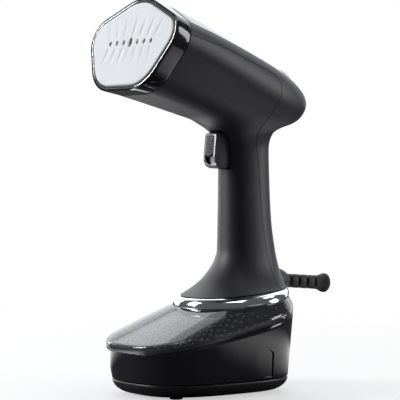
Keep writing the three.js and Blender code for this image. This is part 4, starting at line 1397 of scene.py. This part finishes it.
    def bright_ring(self) -> bpy.types.Object:
        """The bright ring, swollen between its two edges.

        Returns:
            The ring.
        """
        rings = [self.swollen(t, 1.25 * math.sin(math.pi * t) ** 0.8) for t in np.linspace(0.0, 1.0, 17)]
        rings += [self.neck(False, 2.3, 72.5), self.neck(True, 2.3, 68.2), self.neck(True, 1.2, 66.4)]
        return Bench.loft("chrome_ring_fine", rings, closed=True)

    def deck(self, u: float, drop: float = 0.0, inset: float = 0.0) -> Array:
        """Ring of the studded panel.

        Args:
            u: its place, from the outer edge at 0 to the inner edge at 1.
            drop: how far it is lowered.
            inset: how far it is drawn in.

        Returns:
            The points in three coordinates.
        """
        low = self.ring(54.2 - drop, self.rise, 6.2 + inset)
        high = self.neck(True, 0.9 + inset, 62.6 - drop)
        return low + (high - low) * u

    def panel(self) -> tuple[bpy.types.Object, bpy.types.Object]:
        """The dark panel under the cover, and the studs on it.

        Returns:
            The panel and one object with all its studs.
        """
        steps = np.linspace(0.0, 0.985, 14)
        rings = [self.deck(u) for u in steps] + [self.deck(u, 1.3, 0.1) for u in steps[::-1]]
        plate = Bench.loft("pattern_panel_fine", rings, closed=True)
        opening = np.array([(-10.6, 10.8), (10.6, 10.8), (10.6, 40), (-10.6, 40)], float)
        Bench.combine(plate, Bench.prism("latch", opening, 20, 80, run_up), Solver.CUT)
        top = np.array([self.deck(u) for u in np.linspace(0.06, 0.9, 60)])
        normal = np.cross(np.gradient(top, axis=1), np.gradient(top, axis=0)).reshape(-1, 3)
        normal /= np.linalg.norm(normal, axis=1)[:, None]
        normal *= np.where(normal[:, 2:] < 0, -1, 1)
        top = top.reshape(-1, 3)
        pts, faces = [], []
        wide, deep = self.stud_pitch
        for row in range(self.stud_rows):
            for col in range(-self.stud_columns, self.stud_columns + 1):
                spot = np.array([wide * col + (wide / 2 if row % 2 else 0.0), -104 + deep * row])
                gap = np.hypot(*(top[:, :2] - spot).T)
                k = int(np.argmin(gap))
                if gap[k] > 1.2 or (spot[1] > 8 and abs(spot[0]) < 14):
                    continue
                up = Vector(normal[k])
                back = (Vector((0, 1, 0)) - up * up.y).normalized()
                side = back.cross(up)
                b = len(pts)
                pts += [top[k] + np.array(side * a + back * c + up * h) for a, c, h in STUD_CORNERS]
                faces += [tuple(b + v for v in face) for face in STUD_FACES]
        return plate, Bench.piece("pattern_studs", np.array(pts), faces)

    def tray(self) -> bpy.types.Object:
        """The satin tray under the tank.

        Returns:
            The tray.
        """
        steps = [(1.6, 9.5), (1.75, 8.2), (2.2, 6.8), (3.1, 5.0), (4.4, 3.2), (6.0, 1.7), (8.0, 0.6),
                 (9.6, 0.12), (10.3, 0.05), (10.62, 0.25), (10.7, 0.6), (10.7, 2.2)]
        rings = [self.foot_ring(z, inset) for z, inset in steps]
        rings += [self.foot_ring(z, inset) for z, inset in ((9.8, 2.5), (6.6, 4.4), (4.6, 7.6), (3.7, 9.8))]
        return Bench.loft("bottom_tray_fine", rings)

    def mark(self, name: str, spans: Sequence[tuple[float, float, float]]) -> bpy.types.Object:
        """A raised sign on the clear band.

        Args:
            name: the piece's name.
            spans: how far along it each section lies, and the section's top and bottom.

        Returns:
            The sign.
        """
        wall = self.ring(55.4, self.rise, 0.0)
        side = wall[(wall[:, 0] > 0)]
        side = side[np.argsort(side[:, 1])]
        rings = []
        for along, high, low in spans:
            y = self.mark_y + along
            x = float(np.interp(y, side[:, 1], side[:, 0]))
            z = 56.0 + self.rise * y
            rings.append(np.array([(x + 0.2, y, z + high), (x + 0.2, y, z + low), (x - 0.3, y, z + low),
                                   (x - 0.3, y, z + high)]))
        return Bench.loft(name, rings)

    def build(self) -> None:
        """Make and dress the tank unit."""
        tank = self.body()
        GLOSS.dress(Bench.shade(tank, 35))
        place(tank, "tank", "tank_body")
        cover = self.cover()
        SMOKED.dress(Bench.shade(cover, 40))
        place(cover, "tank", "tank_cover")
        bright = self.bright_ring()
        SILVER.dress(Bench.shade(bright, 50))
        place(bright, "handset", "chrome_ring")
        plate, studs = self.panel()
        PANEL.dress(Bench.shade(plate, 35))
        place(plate, "tank", "pattern_panel")
        STUD.dress(studs)
        place(studs, "tank")
        tray = self.tray()
        SATIN.dress(Bench.shade(tray, 40))
        place(tray, "tank", "bottom_tray")
        tick = self.mark("level_mark", [(a, 0.35, -0.35) for a in np.linspace(-3.4, 3.4, 9)])
        pointer = self.mark("level_pointer", [(-1.1, -0.9, -1.0), (0.0, -0.9, -2.2), (1.1, -0.9, -1.0)])
        for sign in (tick, pointer):
            MARK.dress(sign)
            place(sign, "tank")
        for name, x, y in (("front_left", -26, -78), ("front_right", 26, -78), ("rear_left", -21, 6),
                           ("rear_right", 21, 6)):
            q = 2 * np.pi * np.arange(40) / 40
            steps = ((3.2, 0.5), (3.4, 0.05), (4.1, 0.0), (4.55, 0.2), (4.75, 0.6), (4.8, 2.3))
            rings = [np.column_stack([x + r * np.cos(q), y + r * np.sin(q), np.full(40, z)])
                     for r, z in steps]
            foot = Bench.loft(f"foot_{name}_fine", rings)
            RUBBER.dress(Bench.shade(foot, 40))
            place(foot, "tank", f"foot_{name}")


# ------------------------------------------------------------------ the rest
class InnerPieces:
    """CAD pieces that keep their shape and get a finish from the record's slots."""

    def build(self) -> None:
        """Dress every CAD node with its slot's finish; the steam chamber gets a near-black painted shade
        instead.
        """
        slots = {s["node"]: s["material_slot"] for s in frame["record"]["subparts"]}
        for name, node in frame["nodes"].items():
            # The steam chamber is painted near-black: shade in the hollow behind the plate's holes.
            finish = CHAMBER_PAINTED_SHADE if name == "steam_chamber" else FINISHES[slots[name]]
            node.data.materials.clear()
            node.data.materials.append(finish.make())
            node.data.polygons.foreach_set("use_smooth", [True] * len(node.data.polygons))
            node.data.set_sharp_from_angle(angle=math.radians(34))
        log.info("dressed %d CAD nodes", len(frame["nodes"]))


@dataclass(frozen=True)
class CoilSpring:
    """Spring copied from its CAD shape and set on the body it rides on."""

    node: str
    joint: str
    body: str
    axis: tuple[float, float, float]
    length: float
    travel: float
    fixed_high: bool

    def build(self) -> None:
        """Make the spring from its CAD shape and set it on its body."""
        source = frame["nodes"][self.node]
        made = bpy.data.objects.new(f"{self.node}_fine", source.data.copy())
        bpy.context.scene.collection.objects.link(made)
        low, high = (Vector(corner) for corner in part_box(self.node))
        anchor = high if self.fixed_high else low
        if self.axis[2] < 0 < self.axis[1]:
            anchor = Vector((anchor.x, anchor.y, low.z if self.fixed_high else high.z))
        STEEL.dress(made)
        place(made, self.body, self.node)
        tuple(self.axis)
        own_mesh(made)


SPRINGS = (
    CoilSpring("trigger_spring", "trigger_hinge", "handset", (0.0, 1.0, 0.0), 7.0, 1.6, True),
    CoilSpring("pump_spring", "pump_stroke", "handset", (0.0, 0.94552, -0.32557), 9.4, 2.0, False),
    CoilSpring("release_spring", "release_press", "tank", (0.0, 1.0, 0.0), 6.7, 2.55, False),
    CoilSpring("valve_spring", "valve_stroke", "tank", (0.0, 0.0, 1.0), 3.6, 1.45, False),
)


LAMPS = (
    ("left_front", (-0.95, -1.25, 0.75), (0.5, 1.1), 22.0),
    ("crown_left", (-1.25, 0.35, 1.0), (0.75, 0.6), 2.0),
    ("right_rear", (0.75, 1.15, 0.4), (0.4, 1.0), 9.0),
    ("left_side", (-1.5, -0.2, 0.3), (0.5, 1.0), 6.0),
    ("right_side", (1.5, 0.35, 0.35), (0.8, 1.0), 0.5),
    ("rear_high", (0.0, 0.95, 1.35), (0.35, 0.3), 1.5),
    ("overhead", (0.1, -0.1, 1.4), (0.6, 0.6), 4.0),
)
# Painted reflections on the floor: direction, start and end of the ramp, and strength of a glow that only
# glossy rays see.
FLOOR_PAINTED_REFLECTIONS = (((-0.9, -0.44, 0.0), 0.13, 0.23, 9.0), ((0.42, 0.91, 0.0), 0.06, 0.2, 1.5))


@dataclass
class Studio:
    """Pale floor, soft lights and the camera."""

    aim: Vector = field(default_factory=lambda: Vector((0.0, -0.02342, 0.1401)))
    eye: Vector = field(default_factory=lambda: Vector((1.09184, -0.81667, 0.17352)))
    lens: float = 166.14
    floor_radius: float = 9.0
    floor_sides: int = 64
    fade_starts: float = 0.10
    fade_ends: float = 0.75
    # Share of plain white glow near the object, which pales its cast shadow: painted light.
    white_nearby: float = 0.55

    def panel(self, name: str, at: Sequence[float], size: tuple[float, float], power: float) -> None:
        """One soft light that faces the object.

        Args:
            name: its name.
            at: where it stands.
            size: its width and height.
            power: its strength in watts.
        """
        data = bpy.data.lights.new(name, "AREA")
        data.shape = "RECTANGLE"
        data.size, data.size_y = size
        data.energy = power
        lamp = bpy.data.objects.new(name, data)
        lamp.location = at
        lamp.rotation_euler = (self.aim - Vector(at)).to_track_quat("-Z", "Y").to_euler()
        bpy.context.scene.collection.objects.link(lamp)

    def floor(self) -> None:
        """Round pale floor that fades to plain white away from the object. Near the object the camera sees
        it partly as plain white glow, which pales its cast shadow: painted light. To light and reflections
        it is dim grey, so the object's undersides stay darker than a pale floor would leave them: painted
        shade.
        """
        mesh = bpy.data.meshes.new("studio_floor")
        r, n = self.floor_radius, self.floor_sides
        turns = [2 * math.pi * i / n for i in range(n)]
        rim = [(r * math.cos(q), r * math.sin(q), 0.0) for q in turns]
        mesh.from_pydata(rim, [], [tuple(range(n))])
        ground = bpy.data.objects.new("studio_floor", mesh)
        bpy.context.scene.collection.objects.link(ground)
        pale = Finish("studio_pale", (0.86, 0.86, 0.86), 0.55, scale=60, relief=0.02, spread=0.01,
                      specular=0.2)
        stuff = pale.make()
        ground.data.materials.append(stuff)
        tree = stuff.node_tree
        shader = tree.nodes["Principled BSDF"]
        where = tree.nodes.new("ShaderNodeTexCoord")
        reach = tree.nodes.new("ShaderNodeVectorMath")
        reach.operation = "LENGTH"
        fade = tree.nodes.new("ShaderNodeMapRange")
        fade.interpolation_type = "SMOOTHSTEP"
        fade.inputs["From Min"].default_value = self.fade_starts
        fade.inputs["To Min"].default_value = self.white_nearby
        fade.inputs["From Max"].default_value = self.fade_ends
        path = tree.nodes.new("ShaderNodeLightPath")
        only = tree.nodes.new("ShaderNodeMath")
        only.operation = "MULTIPLY"
        white = tree.nodes.new("ShaderNodeEmission")
        # Dim grey that the object sees in place of the pale floor: painted shade on its undersides.
        dim = tree.nodes.new("ShaderNodeBsdfDiffuse")
        dim.inputs["Color"].default_value = (0.10, 0.10, 0.105, 1)
        under = tree.nodes.new("ShaderNodeMixShader")
        tree.links.new(path.outputs["Is Camera Ray"], under.inputs["Fac"])
        painted_reflection = self.painted_reflection(tree, where, path)
        both = tree.nodes.new("ShaderNodeAddShader")
        tree.links.new(dim.outputs["BSDF"], both.inputs[0])
        tree.links.new(painted_reflection, both.inputs[1])
        tree.links.new(both.outputs["Shader"], under.inputs[1])
        tree.links.new(shader.outputs["BSDF"], under.inputs[2])
        mix = tree.nodes.new("ShaderNodeMixShader")
        tree.links.new(where.outputs["Object"], reach.inputs[0])
        tree.links.new(reach.outputs["Value"], fade.inputs["Value"])
        tree.links.new(fade.outputs["Result"], only.inputs[0])
        tree.links.new(path.outputs["Is Camera Ray"], only.inputs[1])
        tree.links.new(only.outputs["Value"], mix.inputs["Fac"])
        tree.links.new(under.outputs["Shader"], mix.inputs[1])
        tree.links.new(white.outputs["Emission"], mix.inputs[2])
        tree.links.new(mix.outputs["Shader"], tree.nodes["Material Output"].inputs["Surface"])

    @staticmethod
    def painted_reflection(tree: bpy.types.NodeTree, where: bpy.types.Node, path: bpy.types.Node) -> bpy.types.NodeSocket:
        """Painted reflections: glow on the table to the left and to the rear right that only glossy rays
        see, so that polished pieces mirror it.

        Args:
            tree: the floor's nodes.
            where: its coordinates.
            path: what kind of ray asks.

        Returns:
            The shader of the sheen.
        """
        total = None
        for toward, near, far, strength in FLOOR_PAINTED_REFLECTIONS:
            along = tree.nodes.new("ShaderNodeVectorMath")
            along.operation = "DOT_PRODUCT"
            along.inputs[1].default_value = toward
            tree.links.new(where.outputs["Object"], along.inputs[0])
            ramp = tree.nodes.new("ShaderNodeMapRange")
            ramp.interpolation_type = "SMOOTHSTEP"
            for socket, value in (("From Min", near), ("From Max", far), ("To Max", strength)):
                ramp.inputs[socket].default_value = value
            tree.links.new(along.outputs["Value"], ramp.inputs["Value"])
            if total is None:
                total = ramp.outputs["Result"]
                continue
            joined = tree.nodes.new("ShaderNodeMath")
            tree.links.new(total, joined.inputs[0])
            tree.links.new(ramp.outputs["Result"], joined.inputs[1])
            total = joined.outputs["Value"]
        reach = tree.nodes.new("ShaderNodeVectorMath")
        reach.operation = "LENGTH"
        tree.links.new(where.outputs["Object"], reach.inputs[0])
        ends = tree.nodes.new("ShaderNodeMapRange")
        for socket, value in (("From Min", 0.22), ("From Max", 0.29), ("To Min", 1.0), ("To Max", 0.0)):
            ends.inputs[socket].default_value = value
        tree.links.new(reach.outputs["Value"], ends.inputs["Value"])
        near_by = tree.nodes.new("ShaderNodeMath")
        near_by.operation = "MULTIPLY"
        tree.links.new(total, near_by.inputs[0])
        tree.links.new(ends.outputs["Result"], near_by.inputs[1])
        mirrored = tree.nodes.new("ShaderNodeMath")
        mirrored.operation = "MULTIPLY"
        tree.links.new(near_by.outputs["Value"], mirrored.inputs[0])
        tree.links.new(path.outputs["Is Glossy Ray"], mirrored.inputs[1])
        reflection_glow = tree.nodes.new("ShaderNodeEmission")
        tree.links.new(mirrored.outputs["Value"], reflection_glow.inputs["Strength"])
        return reflection_glow.outputs["Emission"]

    def sky(self) -> None:
        """White surroundings to the eye, and a dimmer room for light and reflections."""
        world = bpy.data.worlds.new("studio_room")
        bpy.context.scene.world = world
        world.use_nodes = True
        tree = world.node_tree
        out = tree.nodes["World Output"]
        where = tree.nodes.new("ShaderNodeTexCoord")
        facing = tree.nodes.new("ShaderNodeVectorMath")
        facing.operation = "DOT_PRODUCT"
        facing.inputs[1].default_value = (-0.79, 0.57, 0.22)
        level = tree.nodes.new("ShaderNodeMapRange")
        for socket, value in (("From Min", 0.70), ("From Max", 0.73), ("To Min", 0.10), ("To Max", 1.5)):
            level.inputs[socket].default_value = value
        seen = tree.nodes["Background"]
        seen.inputs["Color"].default_value = (1.0, 1.0, 1.0, 1)
        seen.inputs["Strength"].default_value = 1.0
        room = tree.nodes.new("ShaderNodeBackground")
        room.inputs["Color"].default_value = (0.93, 0.95, 1.0, 1)
        tree.links.new(where.outputs["Generated"], facing.inputs[0])
        tree.links.new(facing.outputs["Value"], level.inputs["Value"])
        tree.links.new(level.outputs["Result"], room.inputs["Strength"])
        path = tree.nodes.new("ShaderNodeLightPath")
        mix = tree.nodes.new("ShaderNodeMixShader")
        tree.links.new(path.outputs["Is Camera Ray"], mix.inputs["Fac"])
        tree.links.new(room.outputs[0], mix.inputs[1])
        tree.links.new(seen.outputs[0], mix.inputs[2])
        tree.links.new(mix.outputs[0], out.inputs["Surface"])

    def build(self) -> None:
        """Set up the studio."""
        self.floor()
        self.sky()
        for lamp in LAMPS:
            self.panel(*lamp)
        data = bpy.data.cameras.new("studio_camera")
        data.lens = self.lens
        data.sensor_width = 36.0
        data.clip_start, data.clip_end = 0.05, 40.0
        camera = bpy.data.objects.new("studio_camera", data)
        camera.location = self.eye
        camera.rotation_euler = (self.aim - self.eye).to_track_quat("-Z", "Y").to_euler()
        bpy.context.scene.collection.objects.link(camera)
        bpy.context.scene.camera = camera
        bpy.context.scene.view_settings.view_transform = "Standard"


def main() -> None:
    """Build every sub-assembly in order."""
    logging.basicConfig(level=logging.INFO, format="%(name)s %(message)s")
    InnerPieces().build()
    form = HandsetForm()
    for part in (SteamHead(form), TriggerUnit(), CordExit(), TankUnit(), HandsetShells(form), Studio()):
        log.info("building %s", type(part).__name__)
        part.build()
    for coil in SPRINGS:
        coil.build()


if __name__ == "__main__":
    main()
